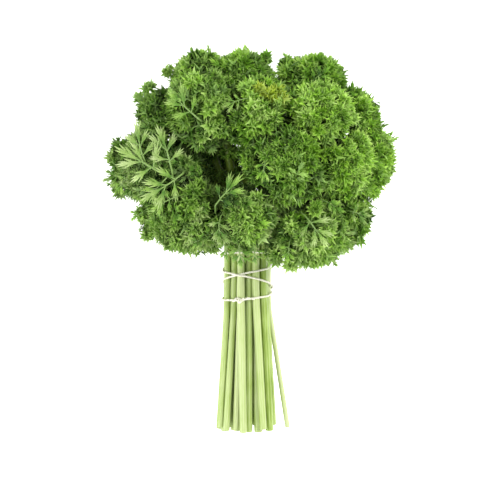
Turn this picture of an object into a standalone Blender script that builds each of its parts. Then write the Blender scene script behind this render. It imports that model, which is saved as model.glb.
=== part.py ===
"""A tied bunch of curly parsley, lying on its side.

+Y runs from the cut ends to the leafy head, +X goes across and +Z is up, in metres.
The origin is under the middle of the bunch, on the surface that it lies on.
"""

import math
import random

import bmesh
import bpy
import numpy as np
from mathutils import Vector

# Stalks. Distances along the bunch are measured from the cut ends.
STALK_RADIUS = 0.00235
STALK_RADIUS_RANGE = (0.84, 1.16)
STALK_GAP = 0.0005
CUT_UNEVENNESS = 0.005
BUNDLE_HALF_WIDTH = 0.0130
BUNDLE_ASPECT = 1.25
BUNDLE_LEAN = 0.95  # cosine of the bundle's steepest climb
CUT_SPREAD = 1.4
CUT_WANDER = 0.0028
TIE = 0.090
NECK = 0.127
NECK_LEVELS = (0.106, 0.112, 0.118, 0.124)
FAN_CURVE = 1.25
LAST_STRETCH = 0.004
END_GAP = 0.0006
LEVELS = (
    0.0, 0.020, 0.042, 0.064, 0.082, 0.094, 0.106, 0.118,
    0.130, 0.142, 0.155, 0.168, 0.182, 0.196, 0.210,
)
# How the stalks are packed and kept from crossing
PACKING_PASSES = 1500
PACKING_PULL = 0.0022
DRAWN_IN = 0.87
SOFT_PASSES = 150
FIRM_PASSES = 110
STIFFNESS = 0.25
NEAR = 0.03
FLOOR_GAP = 0.0001
TINY = 1e-9
# How high the middle of the bundle lies: distance along the bunch, height
BUNDLE_HEIGHTS = ((0.0, 0.0115), (0.060, 0.0175), (0.100, 0.0230), (0.130, 0.0300), (0.210, 0.0560))
# The one thin stalk that stands off to the side: its leaf head's number, size and reach
STRAY = 19
STRAY_SIZE = 0.74
STRAY_REACH = 0.0085

# Leaf heads, in tiers round the middle of the crown: distance along the bunch, reach across,
# reach up, reach down, radius of a head, place of its stalk in the bundle (0 is the middle)
# and the heads' angles in degrees, from +X towards +Z
CROWN_X = 0.004
CROWN_Z = 0.049
CROWN_ASPECT = 1.5
LOW_TIERS = 0.19
TIERS = (
    (0.2265, 0.040, 0.018, 0.026, 0.0235, 0.24, (30, 100, 146, 262)),
    (0.207, 0.061, 0.034, 0.029, 0.0280, 0.60, (10, 48, 84, 122, 160, 225, 302)),
    (0.176, 0.064, 0.036, 0.031, 0.0305, 0.88, (2, 36, 74, 150, 182, 215, 258, 312)),
    (0.146, 0.054, 0.033, 0.030, 0.0275, 1.14, (12, 58, 98, 150, 188, 240, 296)),
)
# Single heads that stand off their tier: number, then shift in X, Y and Z and change of size
HEAD_SHIFTS = {
    1: (0.006, 0.001, 0.0, 1.00),
    5: (-0.004, -0.008, 0.0, 0.95),
    6: (-0.001, -0.002, 0.0, 1.00),
    8: (0.003, -0.001, 0.0, 1.00),
    9: (0.010, -0.006, 0.0, 0.90),
    12: (-0.003, 0.001, 0.0, 1.00),
    16: (0.001, -0.001, 0.0, 1.00),
    20: (-0.001, -0.008, 0.0, 1.00),
    21: (0.008, -0.010, -0.002, 1.00),
    23: (0.004, -0.001, 0.0, 0.98),
    24: (0.005, 0.003, 0.0, 0.95),
    26: (0.004, -0.002, 0.0, 1.00),
}
HEAD_GAP = 0.0004
HEAD_LUMPINESS = 0.07
HEAD_WAVES = 3
WAVE_COUNT = 3.2

# The hollow inside the crown, where the stalks fan out, is an ellipsoid that leans up
CORE_CENTRE = Vector((0.002, 0.170, 0.0440))
CORE_RADII = Vector((0.034, 0.054, 0.0215))
CORE_LEAN = math.radians(17)

# String, wound four times and knotted on the upper side
STRING_RADIUS = 0.00065
STRING_GAP = 0.00035
STEPS_A_TURN = 144
STRING_STEP = 0.0016
SLOPE_STEP = 0.003
KNOT_ANGLE = math.radians(104)
KNOT_HALF_WIDTH = 0.0034
KNOT_SIZE = 0.00084
KNOT_DEPTH = 1.4
KNOT_CORD_RADIUS = 0.0005
KNOT_LIFT = 0.0011
KNOT_STEPS = 26
KNOT_OPENING = 0.06
# Where the string passes along the bunch: turns from the knot, distance
STRING_ROUTE = (
    (0.0, 0.0880), (0.25, 0.0915), (0.50, 0.0945), (0.75, 0.0995), (1.0, 0.1050), (1.25, 0.1100),
    (1.50, 0.1140), (1.75, 0.1175), (2.0, 0.1195), (2.25, 0.1190), (2.50, 0.1130), (2.75, 0.1075),
    (3.0, 0.1043), (3.25, 0.0980), (3.50, 0.0920), (3.75, 0.0880), (4.0, 0.0875),
)
# Turns from the knot where the string lies over itself, and half the length of the rise
CROSSINGS = ((2.48, 0.15), (2.99, 0.15), (3.43, 0.15))

rng = random.Random(26)


def clear_scene():
    for found in list(bpy.data.objects):
        bpy.data.objects.remove(found, do_unlink=True)


def new_collection(name):
    made = bpy.data.collections.new(name)
    bpy.context.scene.collection.children.link(made)
    return made


def new_material(name, colour, roughness):
    made = bpy.data.materials.new(name)
    made.use_nodes = True
    shader = made.node_tree.nodes["Principled BSDF"]
    shader.inputs["Base Color"].default_value = (*colour, 1.0)
    shader.inputs["Roughness"].default_value = roughness
    shader.inputs["Metallic"].default_value = 0.0
    return made


def place(made, collection, frame, material):
    """Files an object in the collection, under the bunch's own frame, with its material."""
    collection.objects.link(made)
    made.parent = frame
    made.data.materials.append(material)
    return made


def tube(name, points, radius):
    """A round tube through points, with closed ends."""
    curve = bpy.data.curves.new(name, "CURVE")
    curve.dimensions = "3D"
    curve.bevel_depth = radius
    curve.bevel_resolution = 2
    curve.use_fill_caps = True
    line = curve.splines.new("POLY")
    line.points.add(len(points) - 1)
    for spot, co in zip(line.points, points):
        spot.co = (*co, 1.0)
    line.use_smooth = True
    return bpy.data.objects.new(name, curve)


def polar(angle):
    """The direction across the bunch at an angle from +X towards +Z, as (x, z)."""
    return np.array((math.cos(angle), math.sin(angle)))


# Leaf heads: where each one stands


def head_layout():
    """One (centre, radius, stalk's place in the bundle) for each leaf head."""
    found = []
    for along, across, up, down, radius, depth, angles in TIERS:
        for degrees in angles:
            x, z = polar(math.radians(degrees + rng.uniform(-3, 3)))
            size = radius * rng.uniform(0.93, 1.08)
            centre = Vector((
                CROWN_X + across * x,
                along + rng.uniform(-0.003, 0.003),
                CROWN_Z + (up if z > 0 else down) * z,
            ))
            angle = math.atan2((centre.z - CROWN_Z) * CROWN_ASPECT, centre.x - CROWN_X)
            found.append((centre, size, depth * polar(angle)))
    for number, (dx, dy, dz, scale) in HEAD_SHIFTS.items():
        centre, size, place = found[number - 1]
        found[number - 1] = (centre + Vector((dx, dy, dz)), size * scale, place)
    return found


def core_frame(point):
    """A point in the core's own frame, where the core is a ball of radius 1."""
    off = point - CORE_CENTRE
    c, s = math.cos(CORE_LEAN), math.sin(CORE_LEAN)
    along, up = off.y * c + off.z * s, off.z * c - off.y * s
    return Vector((off.x / CORE_RADII.x, along / CORE_RADII.y, up / CORE_RADII.z))


def from_core(point, slope=False):
    """The reverse of core_frame. A slope is the direction that faces out of the core there."""
    scale = [1 / r for r in CORE_RADII] if slope else list(CORE_RADII)
    x, along, up = (a * b for a, b in zip(point, scale))
    c, s = math.cos(CORE_LEAN), math.sin(CORE_LEAN)
    turned = Vector((x, along * c - up * s, along * s + up * c))
    return turned.normalized() if slope else turned + CORE_CENTRE


def core_spot(centre):
    """The place on the core's surface towards a leaf head, and the way out there."""
    unit = core_frame(centre).normalized()
    return from_core(unit), from_core(unit, slope=True)


# Stalks: packed in the bundle, fanned out in the crown


def bundle_height(along):
    """The height of the bundle's middle."""
    return float(np.interp(along, *zip(*BUNDLE_HEIGHTS)))


def packed_bundle(wishes, radii):
    """The stalks' places in the tightest part of the bundle, drawn in until they touch."""
    places = wishes.copy()
    room = radii[:, None] + radii[None] + STALK_GAP
    np.fill_diagonal(room, 0)
    for turn in range(PACKING_PASSES):
        if turn < DRAWN_IN * PACKING_PASSES:
            places *= 1 - PACKING_PULL * np.array((1, BUNDLE_ASPECT))
        away = places[:, None] - places[None]
        apart = np.sqrt(((away * (1, BUNDLE_LEAN)) ** 2).sum(2)) + TINY
        short = np.clip(room - apart, 0, None)
        places += 0.5 * (away / apart[..., None] * short[..., None]).sum(1)
    return places - (places.max(0) + places.min(0)) / 2


def stalk_guides(heads, feet, radii):
    """Each stalk's wished-for points, from its cut end to its leaf head."""
    wishes = []
    for _, _, place in heads:
        wishes.append(place * (BUNDLE_HALF_WIDTH, BUNDLE_HALF_WIDTH / BUNDLE_ASPECT))
    packed = packed_bundle(np.array(wishes), radii)
    guides = []
    for i, foot in enumerate(feet):
        wander = np.array((rng.uniform(-1, 1), rng.uniform(-1, 1))) * CUT_WANDER
        cut = rng.uniform(0, CUT_UNEVENNESS)
        points = []
        for along in (cut, *LEVELS[1:]):
            if along > foot.y - LAST_STRETCH:
                break
            loose = max(0.0, 1 - along / TIE)
            at = packed[i] * (1 + (CUT_SPREAD - 1) * loose, 1) + wander * loose
            if i == STRAY:
                at = at + (STRAY_REACH * loose, 0)
            if along > NECK:
                share = ((along - NECK) / (foot.y - NECK)) ** FAN_CURVE
                goal = np.array((foot.x, foot.z - bundle_height(along)))
                at = at + (goal - at) * share
            points.append(Vector((at[0], along, at[1] + bundle_height(along))))
        guides.append([*points, foot])
    return guides


def nearest_shares(start, way, other_start, other_way):
    """How far along each of two sets of straight stretches they come nearest to each other."""
    off = start - other_start
    a, b, e = (way * way).sum(1), (way * other_way).sum(1), (other_way * other_way).sum(1)
    c, f = (way * off).sum(1), (other_way * off).sum(1)
    s = np.clip((b * f - c * e) / np.maximum(a * e - b * b, TINY ** 2), 0, 1)
    t = np.clip((b * s + f) / e, 0, 1)
    s = np.clip((b * t - c) / a, 0, 1)
    return s, t


def cleared(paths, radii, outs):
    """The paths once no stretch of a stalk is nearer than the gap to another's."""
    counts = [len(path) for path in paths]
    firsts = np.cumsum([0, *counts[:-1]])
    lasts = firsts + counts - 1
    points = np.array([point for path in paths for point in path])
    owner = np.repeat(np.arange(len(paths)), counts)
    cuts = points[firsts, 1].copy()
    feet = points[lasts].copy()
    tails = np.setdiff1d(np.arange(len(points)), lasts)
    i, j = np.triu_indices(len(tails), 1)
    i, j = tails[i], tails[j]
    apart = owner[i] != owner[j]
    i, j = i[apart], j[apart]
    room = radii[owner[i]] + radii[owner[j]] + STALK_GAP
    inner = np.setdiff1d(tails, firsts)
    guides = points.copy()
    for turn in range(SOFT_PASSES + FIRM_PASSES):
        if turn < SOFT_PASSES:
            moved = points - guides
            points[inner] += STIFFNESS * (moved[inner - 1] + moved[inner + 1] - 2 * moved[inner])
        near = np.abs(points[i] - points[j]).max(1) < NEAR
        p, q, wide = i[near], j[near], room[near]
        way, other_way = points[p + 1] - points[p], points[q + 1] - points[q]
        s, t = nearest_shares(points[p], way, points[q], other_way)
        away = points[p] + way * s[:, None] - points[q] - other_way * t[:, None]
        distance = np.linalg.norm(away, axis=1) + TINY
        short = np.clip(wide - distance, 0, None)
        hit = short > 0
        if turn > SOFT_PASSES and not hit.any():
            break
        push = 0.5 * away[hit] * (short[hit] / distance[hit])[:, None]
        s, t = s[hit, None], t[hit, None]
        p, q = p[hit], q[hit]
        np.add.at(points, p, (1 - s) * push)
        np.add.at(points, p + 1, s * push)
        np.add.at(points, q, (t - 1) * push)
        np.add.at(points, q + 1, -t * push)
        points[:, 2] = np.maximum(points[:, 2], radii[owner] + FLOOR_GAP)
        points[firsts, 1] = cuts
        drift = ((points[lasts] - feet) * outs).sum(1)
        points[lasts] -= drift[:, None] * outs
    return [[Vector(point) for point in points[owner == k]] for k in range(len(paths))]


def stalk_paths(heads):
    """Each stalk's points from its cut end to its leaf head, and its radius."""
    feet, outs = [], []
    for centre, _, _ in heads:
        spot, out = core_spot(centre)
        feet.append(spot - out * (STALK_RADIUS + END_GAP))
        outs.append(out)
    radii = np.array([STALK_RADIUS * rng.uniform(*STALK_RADIUS_RANGE) for _ in heads])
    radii[STRAY] *= STRAY_SIZE
    guides = stalk_guides(heads, feet, radii)
    return cleared(guides, radii, np.array(outs)), radii


def stalk_at(path, along):
    """A stalk's (x, z) at a distance along the bunch, or None past its end."""
    if along > path[-1].y:
        return None
    xs, ys, zs = zip(*path)
    return np.array((np.interp(along, ys, xs), np.interp(along, ys, zs)))


# Leaf heads: their solids


def lump(size):
    """A ball with a gently lobed surface, as a bmesh."""
    made = bmesh.new()
    bmesh.ops.create_icosphere(made, subdivisions=2, radius=size)
    waves = [
        (Vector([rng.uniform(-1, 1) for _ in "xyz"]).normalized() * WAVE_COUNT, rng.uniform(0, 6))
        for _ in range(HEAD_WAVES)
    ]
    for vertex in made.verts:
        unit = vertex.co.normalized()
        swell = sum(math.sin(unit.dot(way) + phase) for way, phase in waves) / len(waves)
        vertex.co *= 1 + HEAD_LUMPINESS * swell
    return made


def trimmed(made, point, out):
    """Cuts off what lies on the out side of a plane, and closes the cut."""
    whole = made.verts[:] + made.edges[:] + made.faces[:]
    cut = bmesh.ops.bisect_plane(
        made, geom=whole, dist=1e-7, plane_co=point, plane_no=out, clear_outer=True
    )
    rim = [g for g in cut["geom_cut"] if isinstance(g, bmesh.types.BMEdge)]
    if rim:
        bmesh.ops.contextual_create(made, geom=rim)


def bundle_reach(paths, radii, direction):
    """How far the bundle and its string reach at the neck, in a direction across it."""
    reach = 0.0
    for along in NECK_LEVELS:
        for path, radius in zip(paths, radii):
            at = stalk_at(path, along)
            if at is not None:
                reach = max(reach, float((at - (0, bundle_height(along))) @ direction) + radius)
    return reach + 4 * STRING_RADIUS + 3 * STRING_GAP


def head_mesh(index, heads, paths, radii):
    """A leaf head, trimmed to its own room between its neighbours, the stalks and the surface."""
    centre, size, _ = heads[index]
    made = lump(size)
    bmesh.ops.translate(made, verts=made.verts, vec=centre)
    for other, (far, far_size, _) in enumerate(heads):
        between = far - centre
        distance = between.length
        if other == index or distance > 1.25 * (size + far_size):
            continue
        share = (distance**2 + size**2 - far_size**2) / (2 * distance**2)
        way = between.normalized()
        trimmed(made, centre + between * share - way * HEAD_GAP / 2, way)
    spot, out = core_spot(centre)
    trimmed(made, spot, -out)
    if centre.y < LOW_TIERS:
        middle = Vector((0, NECK_LEVELS[2], bundle_height(NECK_LEVELS[2])))
        across = np.array((centre.x, centre.z - middle.z))
        across /= np.linalg.norm(across)
        reach = bundle_reach(paths, radii, across)
        way = Vector((across[0], 0, across[1]))
        trimmed(made, middle + way * reach, -way)
    trimmed(made, Vector((0, 0, 0)), Vector((0, 0, -1)))
    bmesh.ops.remove_doubles(made, verts=made.verts, dist=0.00005)
    bmesh.ops.dissolve_degenerate(made, edges=made.edges, dist=0.00005)
    bmesh.ops.triangulate(made, faces=made.faces)
    bmesh.ops.recalc_face_normals(made, faces=made.faces)
    mesh = bpy.data.meshes.new(f"leaf_head_{index + 1:02d}")
    made.to_mesh(mesh)
    made.free()
    mesh.shade_smooth()
    mesh.set_sharp_from_angle(angle=math.radians(35))
    return mesh


# String


def wrap_point(paths, radii, along, angle, lift=0.0):
    """Where the string's middle runs on the side of the bundle that faces an angle."""
    side = polar(angle)
    spots = []
    for path, radius in zip(paths, radii):
        before, after = stalk_at(path, along - 0.004), stalk_at(path, along + 0.004)
        steep = math.hypot(1, np.linalg.norm(after - before) / 0.008)
        spots.append((stalk_at(path, along), (radius + STRING_RADIUS + STRING_GAP) * steep))
    at, room = max(spots, key=lambda spot: float(spot[0] @ side) + spot[1])
    x, z = at + (room + lift) * side
    return Vector((x, along, z))


def string_points(paths, radii):
    """The winding's middle line: four turns that pass over one another at the crossings."""
    turns = STRING_ROUTE[-1][0]
    points = []
    for step in range(round(turns * STEPS_A_TURN) + 1):
        turn = step / STEPS_A_TURN
        angle = KNOT_ANGLE - 2 * math.pi * turn
        along = float(np.interp(turn, *zip(*STRING_ROUTE)))
        point = wrap_point(paths, radii, along, angle)
        true_angle = math.atan2(point.z - bundle_height(along), point.x)
        ahead = math.remainder(angle - true_angle, 2 * math.pi) / (2 * math.pi)
        true_turn = min(max(turn + ahead, 0.0), turns)
        along = float(np.interp(true_turn, *zip(*STRING_ROUTE)))
        points.append(wrap_point(paths, radii, along, angle, crossing_lift(true_turn)))
    from_knot = without_start(thinned(points), KNOT_HALF_WIDTH)
    return without_start(from_knot[::-1], KNOT_HALF_WIDTH)[::-1]


def thinned(points):
    """The line with fewer points on its bends, and both ends of each straight run kept."""
    kept = [points[0]]
    for point, following in zip(points[1:], points[2:]):
        bend = (point - kept[-1]).length > STRING_STEP
        run = (following - point).length > STRING_STEP / 2
        if bend or run:
            kept.append(point)
    return [*kept, points[-1]]


def without_start(points, distance):
    """The line without the stretch within a distance of its first point."""
    first = points[0]
    keep = next(i for i, point in enumerate(points) if (point - first).length > distance)
    inner, outer = points[keep - 1], points[keep]
    reach = (inner - first).length
    share = (distance - reach) / ((outer - first).length - reach)
    return [inner.lerp(outer, share), *points[keep:]]


def crossing_lift(turn):
    """How much further out the later turn runs where it crosses an earlier one."""
    over = 2 * STRING_RADIUS + STRING_GAP
    lift = 0.0
    for crossing, half in CROSSINGS:
        near = abs(turn - crossing) / half
        if near < 1:
            lift = max(lift, over * (1 - near**4) ** 2)
    return lift


def knot_points(middle, out):
    """An overhand knot in a short cord, whose two ends stick out as tails."""
    across = Vector((out.z, 0, -out.x))
    along = Vector((0, 1, 0))
    points = []
    for step in range(KNOT_STEPS + 1):
        t = math.tau * (KNOT_OPENING + (1 - 2 * KNOT_OPENING) * step / KNOT_STEPS) + math.pi / 2
        u = math.sin(t) + 2 * math.sin(2 * t)
        v = math.cos(t) - 2 * math.cos(2 * t)
        w = -math.sin(3 * t)
        points.append(middle + KNOT_SIZE * (u * across + v * along + KNOT_DEPTH * w * out))
    return points


def build():
    clear_scene()
    parts = new_collection("parsley_bunch")
    leaf = new_material("leaf", (0.127, 0.262, 0.030), 0.55)
    stem = new_material("stem", (0.546, 0.686, 0.250), 0.40)
    string = new_material("string", (0.930, 0.904, 0.716), 0.85)

    frame = bpy.data.objects.new("bunch_frame", None)
    parts.objects.link(frame)
    heads = head_layout()
    paths, radii = stalk_paths(heads)
    made = []
    for i, (path, radius) in enumerate(zip(paths, radii)):
        made.append(place(tube(f"stalk_{i + 1:02d}", path, radius), parts, frame, stem))
    for i in range(len(heads)):
        mesh = head_mesh(i, heads, paths, radii)
        made.append(place(bpy.data.objects.new(mesh.name, mesh), parts, frame, leaf))

    winding = string_points(paths, radii)
    made.append(place(tube("tie_string", winding, STRING_RADIUS), parts, frame, string))
    way = polar(KNOT_ANGLE)
    middle = wrap_point(paths, radii, STRING_ROUTE[0][1], KNOT_ANGLE, KNOT_LIFT)
    knot = knot_points(middle, Vector((way[0], 0, way[1])))
    made.append(place(tube("tie_knot", knot, KNOT_CORD_RADIUS), parts, frame, string))

    bpy.context.view_layer.update()
    corners = np.array([o.matrix_world @ Vector(c) for o in made for c in o.bound_box])
    low, high = corners.min(0), corners.max(0)
    frame.location = (-(low[0] + high[0]) / 2, -(low[1] + high[1]) / 2, -low[2])
    bpy.context.view_layer.update()


build()
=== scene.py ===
# %% [markdown]
# # A bunch of curly parsley, tied with cotton string
#
# Twenty-six leaf stalks are held by one wound string and lie on a table. Each stalk carries one
# curly leaf head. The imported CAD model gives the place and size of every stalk, head and turn of
# string. This script keeps those places and makes the looks: thousands of toothed leaflets, ribbed
# stalks with pale cut ends, and a twisted cord of three plies.
#
# The script is a lesson. Each step first says what the real thing is like and why the step is
# made the way it is. The code below it prints what it made.

# %% Load the fixed frame
import itertools
import math
import random

import bmesh
import bpy
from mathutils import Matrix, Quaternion, Vector
from mathutils import noise as field
from mathutils.bvhtree import BVHTree
from mathutils.kdtree import KDTree


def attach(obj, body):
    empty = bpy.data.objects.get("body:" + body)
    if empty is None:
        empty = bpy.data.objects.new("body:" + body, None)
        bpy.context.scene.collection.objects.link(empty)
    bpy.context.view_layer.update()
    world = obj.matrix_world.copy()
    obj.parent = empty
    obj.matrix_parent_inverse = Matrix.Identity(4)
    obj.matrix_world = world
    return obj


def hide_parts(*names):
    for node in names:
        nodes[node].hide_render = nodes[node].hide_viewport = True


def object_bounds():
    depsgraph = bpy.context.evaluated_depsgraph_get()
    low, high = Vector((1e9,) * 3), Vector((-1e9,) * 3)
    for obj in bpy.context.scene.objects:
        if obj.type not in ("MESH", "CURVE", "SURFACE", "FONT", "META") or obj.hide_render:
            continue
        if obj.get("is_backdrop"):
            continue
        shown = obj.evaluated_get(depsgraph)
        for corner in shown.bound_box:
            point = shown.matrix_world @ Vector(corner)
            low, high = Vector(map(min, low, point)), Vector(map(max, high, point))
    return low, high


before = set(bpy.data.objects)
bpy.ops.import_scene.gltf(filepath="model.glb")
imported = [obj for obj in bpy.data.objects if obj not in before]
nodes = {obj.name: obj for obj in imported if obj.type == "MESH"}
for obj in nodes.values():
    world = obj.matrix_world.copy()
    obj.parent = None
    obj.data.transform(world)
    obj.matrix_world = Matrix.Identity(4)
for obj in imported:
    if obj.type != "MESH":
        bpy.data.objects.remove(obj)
cad_box = [list(corner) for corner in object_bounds()]
HEADS = sorted(name for name in nodes if name.startswith("leaf_head_"))
STALKS = sorted(name for name in nodes if name.startswith("stalk_"))
print(len(HEADS), "leaf heads and", len(STALKS), "stalks in the frame")
print("box of the bunch, in metres:", cad_box)

# %% [markdown]
# ## Reading the frame
#
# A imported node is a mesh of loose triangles, so a copy is welded before it is read. A stalk or a
# cord is a tube of eight-cornered rings between two flat ends. Walking from one end, ring by ring,
# gives its centre line and its thickness. That is better than typing the route again, because the
# detailed piece then always sits in the space that its solid holds.

# %% Weld a copy of a node
# Corners closer than this, in metres, are one corner
WELD = 1e-5
TUBE_SIDES = 8


def welded(node):
    """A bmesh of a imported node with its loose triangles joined."""
    shape = bmesh.new()
    shape.from_mesh(nodes[node].data)
    bmesh.ops.remove_doubles(shape, verts=shape.verts, dist=WELD)
    shape.normal_update()
    return shape


# %% Find the flat ends of a tube
# Two faces are in one plane where the product of their normals is over this
FLAT = 0.9995


def flat_patch(face):
    """The corners of the flat patch that a face belongs to."""
    patch, waiting = {face}, [face]
    while waiting:
        for edge in waiting.pop().edges:
            for other in edge.link_faces:
                if other not in patch and other.normal.dot(face.normal) > FLAT:
                    patch.add(other)
                    waiting.append(other)
    return {corner for member in patch for corner in member.verts}


def spread(corners):
    """The greatest distance between two corners."""
    places = [corner.co for corner in corners]
    return max((a - b).length for a in places for b in places)


def tube_ends(shape):
    """The two end rings: the smallest flat patches with one corner a side."""
    patches = {}
    for face in shape.faces:
        corners = flat_patch(face)
        if len(corners) == TUBE_SIDES:
            patches[tuple(sorted(corner.index for corner in corners))] = corners
    return sorted(patches.values(), key=spread)[:2]


# %% Walk along a tube


def places_of(corners):
    """The places of some corners, always in the same order."""
    return [corner.co for corner in sorted(corners, key=lambda corner: corner.index)]


def middle_of(points):
    """The mean of some points."""
    return sum(points, Vector()) / len(points)


def centre_line(node):
    """The centre of each ring of a tube, from the end with the lower Y, and its radius."""
    shape = welded(node)
    shape.verts.index_update()
    ring = min(tube_ends(shape), key=lambda corners: middle_of(places_of(corners)).y)
    seen, centres, radii = set(), [], []
    while ring:
        seen |= ring
        places = places_of(ring)
        centre = middle_of(places)
        centres.append(centre)
        radii.append(sum((place - centre).length for place in places) / len(places))
        ring = {
            other
            for corner in ring
            for edge in corner.link_edges
            for other in edge.verts
            if other not in seen
        }
    shape.free()
    return centres, radii


lines = {name: centre_line(name) for name in STALKS + ["tie_string", "tie_knot"]}
print("rings in each stalk:", [len(lines[name][0]) for name in STALKS])
for cord in ("tie_string", "tie_knot"):
    route = lines[cord][0]
    length = sum((b - a).length for a, b in zip(route, route[1:]))
    print(cord, "is", round(length * 1000), "mm long,", len(route), "rings")

# %% [markdown]
# ## Node trees as small tools
#
# Leaflets repeat by the thousand, and ribs and twists follow a path, so Geometry Nodes make both.
# A few helpers keep that readable. One opens a tree with named inputs, one adds a node with its
# inputs wired, small ones stand for the nodes that come again and again, and one runs a tree on
# some points and keeps the result as a plain mesh.

# %% Open a tree and add nodes


def new_tree(name, inputs):
    """A geometry node tree with named inputs, given as (name, kind of socket, value)."""
    tree = bpy.data.node_groups.new(name, "GeometryNodeTree")
    face = tree.interface
    face.new_socket("Geometry", in_out="INPUT", socket_type="NodeSocketGeometry")
    for label, kind, value in inputs:
        socket = face.new_socket(label, in_out="INPUT", socket_type="NodeSocket" + kind)
        if value is not None:
            socket.default_value = value
    face.new_socket("Geometry", in_out="OUTPUT", socket_type="NodeSocketGeometry")
    return tree


def add(tree, kind, wires=None, **settings):
    """One node of a tree, with its settings made and its inputs wired or set."""
    node = tree.nodes.new(kind)
    for key, value in settings.items():
        setattr(node, key, value)
    for socket, value in (wires or {}).items():
        plug = node.inputs[socket]
        if isinstance(value, bpy.types.NodeSocket):
            tree.links.new(value, plug)
        else:
            plug.default_value = value
    return node


def made(tree, kind, wires=None, **settings):
    """The first output of a new node."""
    return add(tree, kind, wires, **settings).outputs[0]


# %% Nodes that come again and again


def math_node(tree, operation, a, b=0.0, clamp=False):
    """One step of arithmetic."""
    return made(tree, "ShaderNodeMath", {0: a, 1: b}, operation=operation, use_clamp=clamp)


def named(tree, name, kind="FLOAT"):
    """The value of a named attribute, in a geometry tree."""
    return made(tree, "GeometryNodeInputNamedAttribute", {"Name": name}, data_type=kind)


def stored(tree, geometry, name, value, kind="FLOAT"):
    """The geometry with a named value on its points."""
    wires = {"Geometry": geometry, "Name": name, "Value": value}
    return made(tree, "GeometryNodeStoreNamedAttribute", wires, data_type=kind, domain="POINT")


def tube_along(tree, curve, outline):
    """A closed tube along a curve, as thick as the points of the curve say."""
    wires = {"Curve": curve, "Profile Curve": outline, "Scale": named(tree, "thick")}
    return made(tree, "GeometryNodeCurveToMesh", {**wires, "Fill Caps": True})


def finished(tree, geometry, material):
    """The geometry in a material."""
    return made(tree, "GeometryNodeSetMaterial", {"Geometry": geometry, "Material": material})


# %% Run a tree and keep the plain mesh


def in_scene(name, data):
    """A new object at the origin of the scene."""
    thing = bpy.data.objects.new(name, data)
    bpy.context.scene.collection.objects.link(thing)
    return thing


def attribute(mesh, name, kind, values):
    """Stores one value a point on a mesh."""
    layer = mesh.attributes.new(name, kind, "POINT")
    if kind == "FLOAT_VECTOR":
        layer.data.foreach_set("vector", [x for v in values for x in v])
    else:
        layer.data.foreach_set("value", list(values))


def grown(name, points, edges, attributes, tree, values):
    """The plain mesh that a tree grows from points and edges, as an object at the origin."""
    mesh = bpy.data.meshes.new(name)
    mesh.from_pydata(points, edges, [])
    for label, (kind, data) in attributes.items():
        attribute(mesh, label, kind, data)
    source = in_scene(name + "_source", mesh)
    modifier = source.modifiers.new("grow", "NODES")
    modifier.node_group = tree
    for item in tree.interface.items_tree:
        if item.in_out == "INPUT" and item.name in values:
            modifier[item.identifier] = values[item.name]
    depsgraph = bpy.context.evaluated_depsgraph_get()
    evaluated = source.evaluated_get(depsgraph)
    result = bpy.data.meshes.new_from_object(evaluated, depsgraph=depsgraph)
    source.modifiers.remove(modifier)
    bpy.data.objects.remove(source)
    result.name = name
    return in_scene(name, result)


def triangles(piece):
    """How many triangles a piece has."""
    return sum(len(face.vertices) - 2 for face in piece.data.polygons)


# %% [markdown]
# ## Materials
#
# A parsley leaflet is yellow-green at its toothed rim, where it is thin and young, and deep green
# towards its base, partly its own colour and partly painted shade in its folds. Its underside is
# paler and greyer. Each leaflet carries these facts as attributes: reach runs from its base to its
# tips, vein is high along the midrib of each tooth, under marks the underside, tone differs from
# leaflet to leaflet and also carries painted shade, and age differs from leaf to leaf.
# Attributes travel with the mesh, so the colour stays in place from every side.
#
# Every material works in the same way: some facts and some noise are added up with a weight each,
# and the sum picks a colour from a ramp that runs from dark to pale.

# %% Helpers for shaders


def new_material(name, roughness, specular):
    """A principled material: the material, its tree and its shader."""
    material = bpy.data.materials.new(name)
    material.use_nodes = True
    shader = material.node_tree.nodes["Principled BSDF"]
    shader.inputs["Roughness"].default_value = roughness
    shader.inputs["Specular IOR Level"].default_value = specular
    return material, material.node_tree, shader


def fact(tree, name):
    """The value of a named attribute, in a material."""
    return add(tree, "ShaderNodeAttribute", attribute_name=name).outputs["Fac"]


def object_place(tree):
    """Where a point of the piece lies."""
    return add(tree, "ShaderNodeTexCoord").outputs["Object"]


def noise(tree, coordinates, scale, detail=2.0):
    """Soft random spots, scale in spots a metre."""
    wires = {"Vector": coordinates, "Scale": scale, "Detail": detail}
    return add(tree, "ShaderNodeTexNoise", wires).outputs["Fac"]


def weighted(tree, parts, weights, offset):
    """The sum of the parts, each by its weight, less an offset, kept between 0 and 1."""
    total = 0.0
    for name, weight in weights.items():
        total = math_node(tree, "ADD", math_node(tree, "MULTIPLY", parts[name], weight), total)
    return math_node(tree, "SUBTRACT", total, offset, clamp=True)


def ramp(tree, amount, stops):
    """A colour ramp from (place, colour) stops."""
    node = add(tree, "ShaderNodeValToRGB", {"Fac": amount})
    elements = node.color_ramp.elements
    while len(elements) < len(stops):
        elements.new(0.5)
    for element, (place, colour) in zip(elements, stops):
        element.position = place
        element.color = (*colour, 1.0)
    return node.outputs["Color"]


def blend_colour(tree, amount, a, b):
    """Two colours mixed. The second may be a plain colour."""
    # This node has sockets for each kind of value: inputs 6 and 7 and output 2 are its colours
    wires = {0: amount, 6: a, 7: (*b, 1.0) if isinstance(b, tuple) else b}
    return add(tree, "ShaderNodeMix", wires, data_type="RGBA", clamp_factor=True).outputs[2]


def bump(tree, shader, height, distance, strength):
    """Relief from a height. distance is in metres."""
    wires = {"Height": height, "Distance": distance, "Strength": strength}
    tree.links.new(made(tree, "ShaderNodeBump", wires), shader.inputs["Normal"])


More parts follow.
